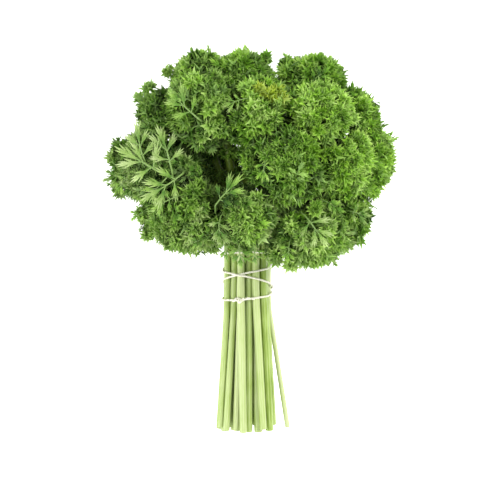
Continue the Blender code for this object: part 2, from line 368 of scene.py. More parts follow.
# %% Leaf
YOUNG = (
    (0.00, (0.015, 0.050, 0.002)),
    (0.35, (0.095, 0.230, 0.010)),
    (0.65, (0.252, 0.490, 0.036)),
    (1.00, (0.475, 0.705, 0.140)),
)
OLD = (
    (0.00, (0.011, 0.037, 0.006)),
    (0.35, (0.070, 0.170, 0.022)),
    (0.65, (0.215, 0.325, 0.085)),
    (1.00, (0.425, 0.530, 0.235)),
)
YELLOWED = (0.400, 0.440, 0.030)
UNDERSIDE = (0.300, 0.430, 0.160)
VEIN = (0.420, 0.560, 0.190)
# How much each part moves the colour along the ramp
# reach darkens each leaflet towards its base, partly its own colour and partly painted shade in its
# folds; tone also carries the painted shade given to deep and crowded tufts
LEAF_WEIGHTS = {"reach": 0.60, "fine": 0.40, "broad": 0.90, "tone": 0.20}
LEAF_OFFSET = 0.47
# How much of the other colours shows. A yellowed leaf has an age below 0
YELLOWED_SHARE = -0.5
UNDERSIDE_SHARE = 0.35
VEIN_SHARE = 0.30
VEIN_SHARPNESS = 6.0
ROUGH_LEAST = 0.38
ROUGH_SPREAD = 0.25


def leaf_material():
    """Curly leaf: dark folds, partly painted shade, bright toothed rims, paler undersides, fine
    veins.
    """
    material, tree, shader = new_material("curly_leaf", roughness=0.5, specular=0.14)
    place = object_place(tree)
    age, vein = fact(tree, "age"), fact(tree, "vein")
    fine = noise(tree, place, scale=900.0, detail=3.0)
    parts = {
        "reach": fact(tree, "reach"),
        "fine": fine,
        "broad": noise(tree, place, scale=70.0, detail=1.0),
        "tone": fact(tree, "tone"),
    }
    light = weighted(tree, parts, LEAF_WEIGHTS, LEAF_OFFSET)
    colour = blend_colour(tree, age, ramp(tree, light, YOUNG), ramp(tree, light, OLD))
    yellow = math_node(tree, "MULTIPLY", age, YELLOWED_SHARE, clamp=True)
    colour = blend_colour(tree, yellow, colour, YELLOWED)
    under = math_node(tree, "MULTIPLY", fact(tree, "under"), UNDERSIDE_SHARE)
    colour = blend_colour(tree, under, colour, UNDERSIDE)
    sharp = math_node(tree, "POWER", vein, VEIN_SHARPNESS)
    colour = blend_colour(tree, math_node(tree, "MULTIPLY", sharp, VEIN_SHARE), colour, VEIN)
    tree.links.new(colour, shader.inputs["Base Color"])
    rough = math_node(tree, "MULTIPLY", fine, ROUGH_SPREAD)
    tree.links.new(math_node(tree, "ADD", rough, ROUGH_LEAST), shader.inputs["Roughness"])
    bump(tree, shader, math_node(tree, "ADD", fine, vein), distance=0.0002, strength=0.5)
    return material


# %% [markdown]
# ## Finishes of stalks and string
#
# A stalk is palest where it was cut and greener towards its leaves. Fine streaks run along it, and
# its grooves are painted darker than its ribs, as painted shade. They are read from three facts of
# the swept mesh: along is the distance from the cut end, round is the place on the outline, and ply
# is 1 on a rib and 0 in a groove. The cut face is wet and pale, with a green ring near its rim. The
# string is undyed cotton, painted a little darker down between its plies, as painted shade.

# %% Stalk and branchlet
STALK_COLOURS = (
    (0.00, (0.180, 0.275, 0.030)),
    (0.12, (0.285, 0.400, 0.070)),
    (0.42, (0.390, 0.500, 0.170)),
    (0.72, (0.475, 0.555, 0.245)),
    (1.00, (0.550, 0.615, 0.330)),
)
BRANCH_COLOURS = (
    (0.15, (0.095, 0.190, 0.030)),
    (0.45, (0.190, 0.310, 0.075)),
    (0.75, (0.290, 0.410, 0.130)),
    (1.00, (0.400, 0.510, 0.210)),
)
# How much each part moves the colour along the ramp. past is the distance past GREEN_FROM
# ply darkens the grooves against the ribs: painted shade
STALK_WEIGHTS = {"streaks": 1.0, "patches": 0.6, "tone": 0.16, "ply": 0.36, "past": -15.0}
STALK_OFFSET = 0.46
GREEN_FROM = 0.102
# A metre of stalk is this long in the streaks' pattern, where its radius is 1, so that they run
# lengthwise
STREAK_STRETCH = 22.0


def stalk_material(name, colours):
    """Pale green stalk with lengthwise streaks that follow it."""
    material, tree, shader = new_material(name, roughness=0.38, specular=0.45)
    along = fact(tree, "along")
    place_round = add(tree, "ShaderNodeAttribute", attribute_name="round").outputs["Vector"]
    stretched = math_node(tree, "MULTIPLY", along, STREAK_STRETCH)
    lengthwise = made(tree, "ShaderNodeCombineXYZ", {"Z": stretched})
    skin = made(tree, "ShaderNodeVectorMath", {0: place_round, 1: lengthwise}, operation="ADD")
    streaks = noise(tree, skin, scale=3.2, detail=4.0)
    parts = {
        "streaks": streaks,
        "patches": noise(tree, object_place(tree), scale=45.0),
        "tone": fact(tree, "tone"),
        "ply": fact(tree, "ply"),
        "past": math_node(tree, "SUBTRACT", along, GREEN_FROM, clamp=True),
    }
    light = weighted(tree, parts, STALK_WEIGHTS, STALK_OFFSET)
    tree.links.new(ramp(tree, light, colours), shader.inputs["Base Color"])
    bump(tree, shader, streaks, distance=0.0003, strength=0.6)
    return material


# %% Cut end
CUT_COLOURS = (
    (0.20, (0.690, 0.720, 0.450)),
    (0.75, (0.540, 0.610, 0.310)),
    (0.95, (0.330, 0.450, 0.140)),
    (1.00, (0.460, 0.560, 0.240)),
)
GRAIN_SHARE = 0.25


def cut_material():
    """The wet pale face of a cut stalk, with its ring of vessels."""
    material, tree, shader = new_material("cut_face", roughness=0.42, specular=0.4)
    grain = noise(tree, object_place(tree), scale=2200.0, detail=3.0)
    uneven = math_node(tree, "MULTIPLY", grain, GRAIN_SHARE)
    ring = math_node(tree, "ADD", fact(tree, "rim"), uneven)
    tree.links.new(ramp(tree, ring, CUT_COLOURS), shader.inputs["Base Color"])
    bump(tree, shader, grain, distance=0.0002, strength=0.5)
    return material


# %% String
COTTON_COLOURS = (
    (0.10, (0.660, 0.600, 0.400)),
    (0.45, (0.900, 0.870, 0.690)),
    (1.00, (0.980, 0.960, 0.840)),
)
COTTON_SHEEN = 0.25
FIBRE_SHARE = 0.6
DIRT_LEAST = 0.45


def string_material():
    """Undyed cotton: cream fibres, with painted shade down between the plies."""
    material, tree, shader = new_material("cotton_string", roughness=0.88, specular=0.15)
    shader.inputs["Sheen Weight"].default_value = COTTON_SHEEN
    place = object_place(tree)
    fibre = noise(tree, place, scale=3800.0, detail=4.0)
    dirt = math_node(tree, "ADD", noise(tree, place, scale=160.0), DIRT_LEAST)
    light = math_node(tree, "MULTIPLY", fibre, FIBRE_SHARE)
    # ply darkens the cotton down between the plies: painted shade
    light = math_node(tree, "ADD", light, fact(tree, "ply"))
    light = math_node(tree, "MULTIPLY", light, dirt, clamp=True)
    tree.links.new(ramp(tree, light, COTTON_COLOURS), shader.inputs["Base Color"])
    bump(tree, shader, fibre, distance=0.0003, strength=0.8)
    return material


# %% Make the materials
leaf = leaf_material()
stem = stalk_material("parsley_stalk", STALK_COLOURS)
branch = stalk_material("leaf_branch", BRANCH_COLOURS)
cut = cut_material()
cotton = string_material()
print("materials:", [m.name for m in (leaf, stem, branch, cut, cotton)])

# %% [markdown]
# ## Leaflets
#
# One leaflet is a small fan cut into pointed teeth, with a frilled rim. It is made as two skins
# that share the toothed outline and part by a fraction of a millimetre in the middle, so it is a
# closed thin lens and not a card. A leaflet is repeated thousands of times in the bunch, so it has
# only a few dozen faces. Several cuts are made: broad frilled fans, a narrow one, and feathered
# ones with long fingers for the flatter leaves. Each is one unit long, grows along +Z, faces +Y.

# %% Close an outline between two skins
THICKNESS = 0.030


class Lens:
    """Closed thin shapes, each an outline between two skins that part in the middle."""

    def __init__(self):
        self.shape = bmesh.new()
        self.reach = self.shape.verts.layers.float.new("reach")
        self.vein = self.shape.verts.layers.float.new("vein")
        self.under = []

    def corner(self, where, reach, vein, push=0.0):
        """One corner with its facts, pushed out of the middle of the lens."""
        vert = self.shape.verts.new(where + Vector((0, push, 0)))
        vert[self.reach], vert[self.vein] = reach, vein
        return vert

    def close(self, outline, heart):
        """outline runs from left to right round the tip; heart is a spot inside it."""
        edge = [self.corner(*spot) for spot in outline]
        for side in (1, -1):
            middle = self.corner(*heart, side * THICKNESS)
            for a, b in zip(edge, edge[1:] + edge[:1]):
                self.shape.faces.new((b, a, middle) if side > 0 else (a, b, middle))
        self.under += [0.0] * len(edge) + [1.0] * len(edge)

    def leaf_object(self, name):
        """The shapes as one object, with their faces outwards."""
        if self.shape.calc_volume(signed=True) < 0:
            bmesh.ops.reverse_faces(self.shape, faces=self.shape.faces)
        mesh = bpy.data.meshes.new(name)
        self.shape.to_mesh(mesh)
        self.shape.free()
        layer = mesh.attributes.new("under", "FLOAT", "FACE")
        layer.data.foreach_set("value", self.under)
        mesh.materials.append(leaf)
        return bpy.data.objects.new(name, mesh)


# %% Cut a frilled leaflet
# Lengths are shares of the leaflet's own length. The heart lies in its middle, and the shoulders
# are the two corners beside its base
HEART = 0.40
SHOULDER = 0.32
SHOULDER_TURN = 1.1
TOOTH_STRAY = 0.03
TOOTH_SIZES = (0.88, 1.06)
OUTER_SHORTER = 0.26
DEEP_NOTCH = 0.75
# The rim waves as it goes round, and every other tooth is bent back
FRILL_WAVES = 2.6
FRILL_BEAT = 0.8
VEINS = {"base": 0.5, "shoulder": 0.2, "tooth": 1.0, "notch": 0.0, "heart": 0.6}


def leaflet(name, teeth, opening, notch, frill, cup, seed):
    """A fan of pointed teeth. opening is half its angle, in degrees."""
    rng = random.Random(seed)
    half = math.radians(opening)
    phase = rng.uniform(0, math.tau)

    def spot(part, angle, radius, beat=0):
        """A corner, by its angle from the midrib: its place, its reach and its vein."""
        wave = math.sin(FRILL_WAVES * angle + phase) + FRILL_BEAT * beat
        lift = (frill * wave + cup * (1 - math.cos(angle))) * radius ** 2
        place = Vector((radius * math.sin(angle), lift, radius * math.cos(angle)))
        return place, radius, VEINS[part]

    rim = [(Vector(), 0.0, VEINS["base"]), spot("shoulder", -half * SHOULDER_TURN, SHOULDER)]
    for i in range(teeth):
        angle = half * (2 * i / (teeth - 1) - 1) + rng.uniform(-TOOTH_STRAY, TOOTH_STRAY)
        size = (1 - OUTER_SHORTER * (angle / half) ** 2) * rng.uniform(*TOOTH_SIZES)
        rim.append(spot("tooth", angle, size, 1 if i % 2 else -1))
        if i < teeth - 1:
            between = angle + half / (teeth - 1)
            deep = DEEP_NOTCH if i in (teeth // 3 - 1, teeth - 1 - teeth // 3) else 1.0
            rim.append(spot("notch", between, size * notch * deep))
    rim.append(spot("shoulder", half * SHOULDER_TURN, SHOULDER))
    lens = Lens()
    lens.close(rim, spot("heart", 0, HEART))
    return lens.leaf_object(name)


# %% Cut a feathered leaflet
# The fingers of a feathered leaflet: where each leaves the midrib, how far it turns, its length
FINGERS = (
    (0.40, 0, 0.60),
    (0.37, 12, 0.54),
    (0.33, -14, 0.55),
    (0.19, 24, 0.54),
    (0.15, -27, 0.52),
)
# The body is one broad finger: its length and half its width
BODY = (0.70, 0.085)
FINGER_WIDTH = 0.048
BROADER = 1.5
FINGER_TURN = 4
FINGER_LENGTHS = (0.85, 1.1)
FINGER_LIFTS = (-0.12, 0.16)
# The corners of a finger: how far along it, how far aside, and how much vein; then its heart
FINGER_OUTLINE = ((0, -0.4, 0.3), (0.45, -1, 0.1), (1, 0, 0.8), (0.45, 1, 0.1), (0, 0.4, 0.3))
FINGER_HEART = (0.4, 0, 0.8)


def feather(name, bend, width, seed):
    """A flat leaflet: a narrow body with long pointed fingers that all lean forward."""
    rng = random.Random(seed)
    lens = Lens()

    def blade(start, angle, length, half_width, lift):
        """One finger, which leaves the midrib at start."""
        way = Vector((math.sin(angle), 0, math.cos(angle)))
        across = Vector((math.cos(angle), 0, -math.sin(angle)))

        def spot(along, aside, vein):
            """A corner of the finger: its place, its reach and its vein."""
            where = Vector((0, 0, start)) + way * along * length + across * aside * half_width
            curl = bend * where.z ** 2 + lift * along ** 2
            return where + Vector((0, curl, 0)), start + along * length, vein

        lens.close([spot(*corner) for corner in FINGER_OUTLINE], spot(*FINGER_HEART))

    blade(0.0, 0.0, *BODY, 0.0)
    for start, angle, length in FINGERS:
        turn = math.radians(angle + rng.uniform(-FINGER_TURN, FINGER_TURN))
        size = length * rng.uniform(*FINGER_LENGTHS)
        blade(start, turn, size, width, rng.uniform(*FINGER_LIFTS))
    return lens.leaf_object(name)


# %% Cut six leaflets
cuts = bpy.data.collections.new("leaflet_cuts")
LEAFLETS = (
    leaflet("leaflet_0", teeth=7, opening=78, notch=0.60, frill=0.26, cup=0.10, seed=11),
    leaflet("leaflet_1", teeth=8, opening=100, notch=0.62, frill=0.30, cup=0.16, seed=12),
    leaflet("leaflet_2", teeth=7, opening=84, notch=0.56, frill=0.34, cup=-0.10, seed=13),
    leaflet("leaflet_3", teeth=5, opening=44, notch=0.58, frill=0.22, cup=0.06, seed=14),
    feather("leaflet_4", bend=-0.18, width=FINGER_WIDTH * BROADER, seed=15),
    feather("leaflet_5", bend=-0.10, width=FINGER_WIDTH, seed=16),
)
for cut_leaf in LEAFLETS:
    cuts.objects.link(cut_leaf)
    print(cut_leaf.name, "has", triangles(cut_leaf), "triangles")
# The places of the cuts in that collection
FRILLED = (0, 1, 2, 3)
BROAD = 4
FEATHER = 5

# %% [markdown]
# ## Where the leaflets grow
#
# A curly leaf branches again and again, and its last branchlets end in small tufts. The tufts sit
# just under the outer face of each head. Spots are scattered over the head's own surface with an
# even spacing, and spots that face another head from close by, or that cannot see the open air,
# are left out, because nothing would show there.
#
# A head is airy, so a second, sparser layer of tufts lies deeper and stops the eye. Between a few
# heads of the top tier the bunch opens into dark hollows. There the tufts are sunk, and low leaves
# on the stalks hide the table. Deep tufts and the leaves in the hollows are painted darker, as
# painted shade.

# %% Read the surface of each head
UPRIGHT = Vector((0, 0, 1))
trees, middles, shells = {}, {}, {}
for head in HEADS:
    shell = welded(head)
    trees[head] = BVHTree.FromBMesh(shell)
    middles[head] = middle_of([v.co for v in shell.verts])
    shells[head] = []
    for face in shell.faces:
        corners = [corner.co.copy() for corner in face.verts]
        shells[head].append((corners, face.normal.copy(), face.calc_area()))
    shell.free()
crown_middle = middle_of(list(middles.values()))


def other_trees(head):
    """The search trees of all the heads but one."""
    return [trees[name] for name in HEADS if name != head]


print("faces of each head:", [len(shells[head]) for head in HEADS])

# %% Hollows between the heads
# Where heads of the top tier stand apart they leave dark hollows. Each is named by two heads, how
# far it lies from the first to the second, and half its width along X and Y
HOLLOWS = (
    ("leaf_head_15", "leaf_head_14", 0.47, 0.0135, 0.0190),
    ("leaf_head_14", "leaf_head_22", 0.50, 0.0065, 0.0055),
    ("leaf_head_15", "leaf_head_22", 0.50, 0.0045, 0.0080),
    ("leaf_head_15", "leaf_head_08", 0.62, 0.0065, 0.0045),
    ("leaf_head_15", "leaf_head_23", 0.60, 0.0055, 0.0045),
)
HOLLOW_FLOOR = 0.034
# Over these places side leaves grow on the stalks, low down, and hide the table
LOW_LEAVES = (
    HOLLOWS[0],
    ("leaf_head_07", "leaf_head_22", 0.27, 0.0150, 0.0100),
    ("leaf_head_22", "leaf_head_14", 0.45, 0.0100, 0.0100),
)


def between_heads(rows):
    """The middle and the half widths of each place in a table."""
    return [(middles[a].lerp(middles[b], share), x, y) for a, b, share, x, y in rows]


hollows = between_heads(HOLLOWS)
low_leaves = between_heads(LOW_LEAVES)
print("the widest hollow is at", [round(c, 4) for c in hollows[0][0]])


def in_hollow(point, which=hollows):
    """True inside a hollow between the heads."""
    if point.z < HOLLOW_FLOOR:
        return False
    return any(math.hypot((point.x - c.x) / x, (point.y - c.y) / y) < 1 for c, x, y in which)


# %% Scatter tufts over the outer face of each head
TUFT_GAP = 0.0060
HIDDEN_GAP = 0.0008
SIGHT = 0.055
TRIES = 3400
CROWN_SEED = 7
rng = random.Random(CROWN_SEED)
cells = {}


def cell_of(point):
    """The cell of a point in a grid as wide as the gap."""
    return tuple(math.floor(c / TUFT_GAP) for c in point)


def near_taken(point):
    """True if a tuft already stands closer than the gap."""
    cell = cell_of(point)
    for shift in itertools.product((-1, 0, 1), repeat=3):
        for other in cells.get(tuple(c + s for c, s in zip(cell, shift)), ()):
            if (other - point).length < TUFT_GAP:
                return True
    return False


def shows(head, point, normal):
    """True if a spot on a head can be seen from outside the bunch."""
    others = other_trees(head)
    if any(tree.find_nearest(point, HIDDEN_GAP)[0] is not None for tree in others):
        return False
    outward = (point - crown_middle).normalized()
    for way in (outward, normal, (outward + normal).normalized(), UPRIGHT):
        if all(tree.ray_cast(point, way, SIGHT)[0] is None for tree in others):
            return True
    return False


def tufts_of(head):
    """Evenly spaced spots on the outer face of a head, each with its normal."""
    faces = shells[head]
    weights = [area for _, _, area in faces]
    found = []
    for corners, normal, _ in rng.choices(faces, weights, k=TRIES):
        a, b = sorted((rng.random(), rng.random()))
        point = corners[0] * a + corners[1] * (b - a) + corners[2] * (1 - b)
        if near_taken(point) or not shows(head, point, normal):
            continue
        cells.setdefault(cell_of(point), []).append(point)
        found.append((point, normal))
    return found


tufts = {head: tufts_of(head) for head in HEADS}
print("tufts on each head:", [len(tufts[head]) for head in HEADS])
print("tufts in all:", sum(len(t) for t in tufts.values()))

# %% Scatter sparser tufts inside each head
# A tuft lies this share of the way from the middle of its head to its face, and further out where
# another head covers it
INNER_SHARE = 0.62
COVERED_SHARE = 0.88
INNER_GAP = 0.0078
INNER_TRIES = 360
FACES_UP = 0.1


def inner_tufts_of(head):
    """Wider-spaced spots in the upper half of a head, so nothing is seen through it."""
    found = []
    others = other_trees(head)
    faces = [face for face in shells[head] if face[1].z > FACES_UP]
    for corners, normal, _ in rng.choices(faces, [area for _, _, area in faces], k=INNER_TRIES):
        spot = middle_of(corners)
        covered = any(tree.ray_cast(spot, UPRIGHT, SIGHT)[0] is not None for tree in others)
        point = middles[head].lerp(spot, COVERED_SHARE if covered else INNER_SHARE)
        if all((point - other).length > INNER_GAP for other, _ in found):
            found.append((point, normal))
    return found


inner_tufts = {head: inner_tufts_of(head) for head in HEADS}
print("inner tufts in all:", sum(len(t) for t in inner_tufts.values()))

# %% [markdown]
# ## The crown tree
#
# The tree gets points and edges. Edges are branchlets and become thin tubes. Points marked as
# leaflets get one leaflet each, turned to its own growing direction and face. The tree adds a
# little random size with a fixed seed, makes the copies real and ends with its materials.

# %% Build the crown tree


def crown_tree():
    """Leaflets on marked points and tubes along edges."""
    inputs = (
        ("Leaflet cuts", "Collection", None),
        ("Size variation", "Float", 0.12),
        ("Seed", "Int", 3),
        ("Branch sides", "Int", 5),
        ("Branch material", "Material", None),
    )
    tree = new_tree("leaf_crown", inputs)
    given = tree.nodes.new("NodeGroupInput").outputs
    wires = {"Collection": given["Leaflet cuts"], "Separate Children": True}
    pick = made(tree, "GeometryNodeCollectionInfo", {**wires, "Reset Children": True})
    align = "FunctionNodeAlignRotationToVector"
    turn = made(tree, align, {"Vector": named(tree, "way", "FLOAT_VECTOR")}, axis="Z")
    wires = {"Rotation": turn, "Vector": named(tree, "face", "FLOAT_VECTOR")}
    turn = made(tree, align, wires, axis="Y", pivot_axis="Z")
    low = math_node(tree, "SUBTRACT", 1.0, given["Size variation"])
    high = math_node(tree, "ADD", 1.0, given["Size variation"])
    # This node has sockets for each kind of number: inputs 2 and 3 and output 1 are its floats
    wires = {2: low, 3: high, "Seed": given["Seed"]}
    vary = add(tree, "FunctionNodeRandomValue", wires, data_type="FLOAT").outputs[1]
    wires = {
        "Points": given["Geometry"],
        "Selection": named(tree, "is_leaflet", "BOOLEAN"),
        "Instance": pick,
        "Pick Instance": True,
        "Instance Index": named(tree, "cut", "INT"),
        "Rotation": turn,
        "Scale": math_node(tree, "MULTIPLY", named(tree, "size"), vary),
    }
    leaves = made(tree, "GeometryNodeInstanceOnPoints", wires)
    real = made(tree, "GeometryNodeRealizeInstances", {"Geometry": leaves})
    line = made(tree, "GeometryNodeMeshToCurve", {"Mesh": given["Geometry"]})
    wires = {"Resolution": given["Branch sides"], "Radius": 1.0}
    ring = made(tree, "GeometryNodeCurvePrimitiveCircle", wires)
    twigs = finished(tree, tube_along(tree, line, ring), given["Branch material"])
    both = add(tree, "GeometryNodeJoinGeometry", {0: real})
    tree.links.new(twigs, both.inputs[0])
    add(tree, "NodeGroupOutput", {0: both.outputs[0]})
    return tree


crown = crown_tree()
print("crown tree has", len(crown.nodes), "nodes")

# %% [markdown]
# ## Growing the heads
#
# Most tufts are small round brushes of frilled leaflets that start below the surface and fan out.
# Leaflets at the side of a tuft turn their faces outwards, those in the middle stand on edge, and
# all are rolled at random. Older leaves are flatter: there some tufts are sprays, a thin stem that
# lies along the surface with a fan at its tip and fans in pairs beside it. Here and there a whole
# leaf lies open on the outside, with its own branching stem and long fingers. Branchlets run from
# the end of the stalk to every tuft.
#
# The leaves of one head aren't all alike: they differ in age and tone by patches, and are painted
# darker where two heads meet, as painted shade. A few at the top have turned yellow. At the outline
# some tufts stray outwards, so it doesn't look trimmed.

# %% How each head grows
# Age from 0, young and yellow-green, to 1, old and grey-green; share of flat sprays; tone; and
# how far the tufts stand out from the head, in metres
# A head's tone is partly its own colour and partly painted shade: heads in the middle of the crown
# have low tones
HABITS = {
    "leaf_head_01": (0.20, 0.05, 0.0, 0.0010),
    "leaf_head_02": (0.20, 0.08, 0.1, 0.0),
    "leaf_head_03": (0.35, 0.05, 0.1, 0.0010),
    "leaf_head_05": (0.15, 0.05, 0.2, 0.0015),
    "leaf_head_06": (0.10, 0.05, 0.6, 0.0),
    "leaf_head_07": (0.25, 0.08, 0.3, 0.0),
    "leaf_head_08": (0.45, 0.10, -0.2, 0.0),
    "leaf_head_09": (0.50, 0.10, -0.2, 0.0055),
    "leaf_head_12": (0.15, 0.10, 0.5, 0.0020),
    "leaf_head_13": (0.00, 0.04, 0.6, 0.0),
    "leaf_head_14": (0.30, 0.06, -0.7, 0.0),
    "leaf_head_15": (0.80, 0.25, 0.0, 0.0),
    "leaf_head_16": (0.80, 0.30, 0.3, -0.0010),
    "leaf_head_20": (0.40, 0.20, 0.4, -0.0045),
    "leaf_head_21": (0.45, 0.15, 0.4, -0.0010),
    "leaf_head_22": (0.62, 0.15, 0.1, 0.0),
    "leaf_head_23": (0.55, 0.20, 0.7, 0.0),
    "leaf_head_24": (0.50, 0.20, 0.8, 0.0010),
}
OTHER_HABIT = (0.40, 0.10, 0.0, 0.0)

# %% Collect the points and edges of one head
# What each point tells the crown tree, and as what kind of value
FACTS = {
    "way": "FLOAT_VECTOR",
    "face": "FLOAT_VECTOR",
    "size": "FLOAT",
    "cut": "INT",
    "thick": "FLOAT",
    "tone": "FLOAT",
    "is_leaflet": "BOOLEAN",
    "age": "FLOAT",
}
AGE_STRAY = 0.15


def stray(most):
    """A random amount either way."""
    return rng.uniform(-most, most)


class Growth:
    """The points, edges and facts that the crown tree grows from."""

    def __init__(self, age):
        self.age = age
        self.points, self.edges, self.facts = [], [], []

    def leaflet(self, place, way, face, size, cut_, tone):
        """A leaflet that grows along way and turns its face to face."""
        self.points.append(place)
        age = self.age + stray(AGE_STRAY)
        self.facts.append((way, face, size, cut_, 0.0, tone, True, age))

    def twig(self, path, base, tip, tone=0.0):
        """A branchlet along a path, thinner towards its tip."""
        first = len(self.points)
        for i, place in enumerate(path):
            thick = base + (tip - base) * i / (len(path) - 1)
            self.points.append(place)
            ways = (UPRIGHT, Vector((0, 1, 0)))
            self.facts.append((*ways, 0.0, 0, thick, tone, False, self.age))
            if i:
                self.edges.append((first + i - 1, first + i))

    def attributes(self):
        """All the facts, one list for each."""
        columns = zip(FACTS.items(), zip(*self.facts))
        return {name: (kind, column) for (name, kind), column in columns}


# %% A round brush
# Lengths are in metres. In this cell and the next ones, a pair gives the least and the most of a
# share that is drawn for each leaflet, and tones and angles stray by an amount either way
LEAFLET_LENGTH = 0.0066
LEAFLET_SIZES = (0.80, 1.12)
LEAFLET_STARTS = (0.0, 0.22)
LEAFLET_TONE = 0.6
LEAFLETS_A_TUFT = 13
TUFT_DEPTH = 0.0068
TUFT_OPENING = math.radians(86)
# Each leaflet is turned on from the last by the golden angle, so they fill the tuft evenly
GOLDEN = math.pi * (3 - math.sqrt(5))
TURN_STRAY = 0.3
WAY_STRAY = 0.25
ROLL = math.radians(70)
# A leaflet that leans less than this out of the tuft's middle stands on edge, any way round
LEAST_LEAN = 0.1


def random_way():
    """A direction with no preference."""
    return Vector((rng.gauss(0, 1), rng.gauss(0, 1), rng.gauss(0, 1))).normalized()


def turned(way, axis, angle):
    """A direction turned about an axis."""
    return Quaternion(axis, angle) @ way


def brush(growth, place, way, scale, tone, count):
    """A round tuft of frilled leaflets. Gives the spot that they fan out from."""
    root = place - way * TUFT_DEPTH * scale
    side = way.orthogonal().normalized()
    other = way.cross(side)
    start = rng.uniform(0, math.tau)
    for i in range(count):
        tilt = TUFT_OPENING * math.sqrt((i + 0.5) / count)
        turn = start + GOLDEN * i + stray(TURN_STRAY)
        rim = side * math.cos(turn) + other * math.sin(turn)
        grow = way * math.cos(tilt) + rim * math.sin(tilt) + random_way() * WAY_STRAY
        grow.normalize()
        up = way - grow * way.dot(grow)
        up = (up if up.length > LEAST_LEAN else grow.orthogonal()).normalized()
        growth.leaflet(
            root + grow * LEAFLET_LENGTH * rng.uniform(*LEAFLET_STARTS),
            grow,
            turned(up, grow, stray(ROLL)),
            LEAFLET_LENGTH * scale * rng.uniform(*LEAFLET_SIZES),
            rng.choice(FRILLED),
            tone + stray(LEAFLET_TONE),
        )
    return root


# %% A flat spray
# The stem has three points: sunk in the head, just under its face, and the tip. The places of the
# fans are counted in steps back from the tip
SPRAY_LENGTH = 0.0085
SPRAY_STEP = 0.42
SPRAY_PAIRS = 2
SPRAY_FLAT = 0.8
SPRAY_SINK = 0.0040
STEM_SINK = 0.0012
STEM_BACK = 1.2
TIP_BACK = 0.6
PAIR_BACK = 0.6
FIRST_PAIR = 0.92
PAIR_SHRINK = 0.06
PAIR_ANGLE = math.radians(52)
PAIR_ANGLES = (0.8, 1.25)
FAN_LIFTS = (-0.05, 0.35)
FAN_ROLL = 0.45
FAN_SIZES = (0.9, 1.1)
FAN_TONE = 0.3
TWIG_BASE = 0.00070
TWIG_TIP = 0.00035


def spray(growth, place, way, grow, length, tone, face_up):
    """A flat leaf that lies along a surface: a thin stem, a fan at its tip and fans in pairs."""
    grow = (grow - way * grow.dot(way) * SPRAY_FLAT).normalized()
    up = grow.cross(way).normalized().cross(grow).normalized()
    step = grow * SPRAY_STEP * length
    tip = place - step * TIP_BACK
    base = tip - step * (SPRAY_PAIRS + STEM_BACK) - up * SPRAY_SINK
    path = [base, tip - step * SPRAY_PAIRS - up * STEM_SINK, tip]
    growth.twig(path, TWIG_BASE, TWIG_TIP)
    spots = [(tip, 0.0, 1.0)]
    for pair in range(SPRAY_PAIRS):
        for hand in (-1, 1):
            angle = hand * PAIR_ANGLE * rng.uniform(*PAIR_ANGLES)
            spot = tip - step * (pair + PAIR_BACK)
            spots.append((spot, angle, FIRST_PAIR - PAIR_SHRINK * pair))
    for spot, angle, size in spots:
        ahead = (turned(grow, up, angle) + up * rng.uniform(*FAN_LIFTS)).normalized()
        face = turned(up * face_up, ahead, stray(FAN_ROLL))
        size *= length * rng.uniform(*FAN_SIZES)
        growth.leaflet(spot, ahead, face, size, BROAD, tone + stray(FAN_TONE))


# %% A whole leaf that lies open
# Where each side branch leaves the stem, how far it turns, and how long its fan is
BRANCHES = (
    (0.22, 0, 0.66),
    (0.26, 36, 0.62),
    (0.30, -36, 0.62),
    (0.52, 66, 0.52),
    (0.56, -66, 0.52),
)
# The stem: how far along the leaf each of its points lies, and how far over it, in metres
OPEN_STEM = ((1.05, -0.008), (0.80, -0.001), (0.45, 0.0), (0.10, 0.0))
OPEN_BASE = 0.032
OPEN_TIP = 0.021
OPEN_SINK = 0.0015
OPEN_TURN = 6
OPEN_DROOP = 0.3
OPEN_LIFTS = (-0.05, 0.25)
OPEN_ROLL = 0.3
OPEN_TONE = 0.2
BRANCH = 0.14
BRANCH_THIN = 0.6
BRANCH_TONE = 0.3
FAN_START = 0.55


def open_leaf(growth, place, up, grow, length, cut_, tone, curl):
    """A flat compound leaf on the outside of a head. Its stem ends under the surface."""
    grow = (grow - up * grow.dot(up)).normalized()

    def along(share, lift=0.0):
        """A place on the leaf, by its share of the way back from the tip."""
        drop = OPEN_SINK + curl * (0.5 - share) ** 2 * length
        return place + grow * length * (0.5 - share) + up * (lift - drop)

    base, tip = length * OPEN_BASE, length * OPEN_TIP
    growth.twig([along(*spot) for spot in OPEN_STEM], base, tip, BRANCH_TONE)
    for share, angle, size in BRANCHES:
        turn = math.radians(angle + stray(OPEN_TURN))
        droop = up * curl * OPEN_DROOP
        ahead = (turned(grow, up, turn) - droop + up * rng.uniform(*OPEN_LIFTS)).normalized()
        root = along(share)
        growth.twig([root, root + ahead * length * BRANCH], tip, tip * BRANCH_THIN, BRANCH_TONE)
        face = turned(up, ahead, stray(OPEN_ROLL))
        fan = length * size * rng.uniform(*FAN_SIZES)
        start = root + ahead * length * BRANCH * FAN_START
        growth.leaflet(start, ahead, face, fan, cut_, tone + stray(OPEN_TONE))


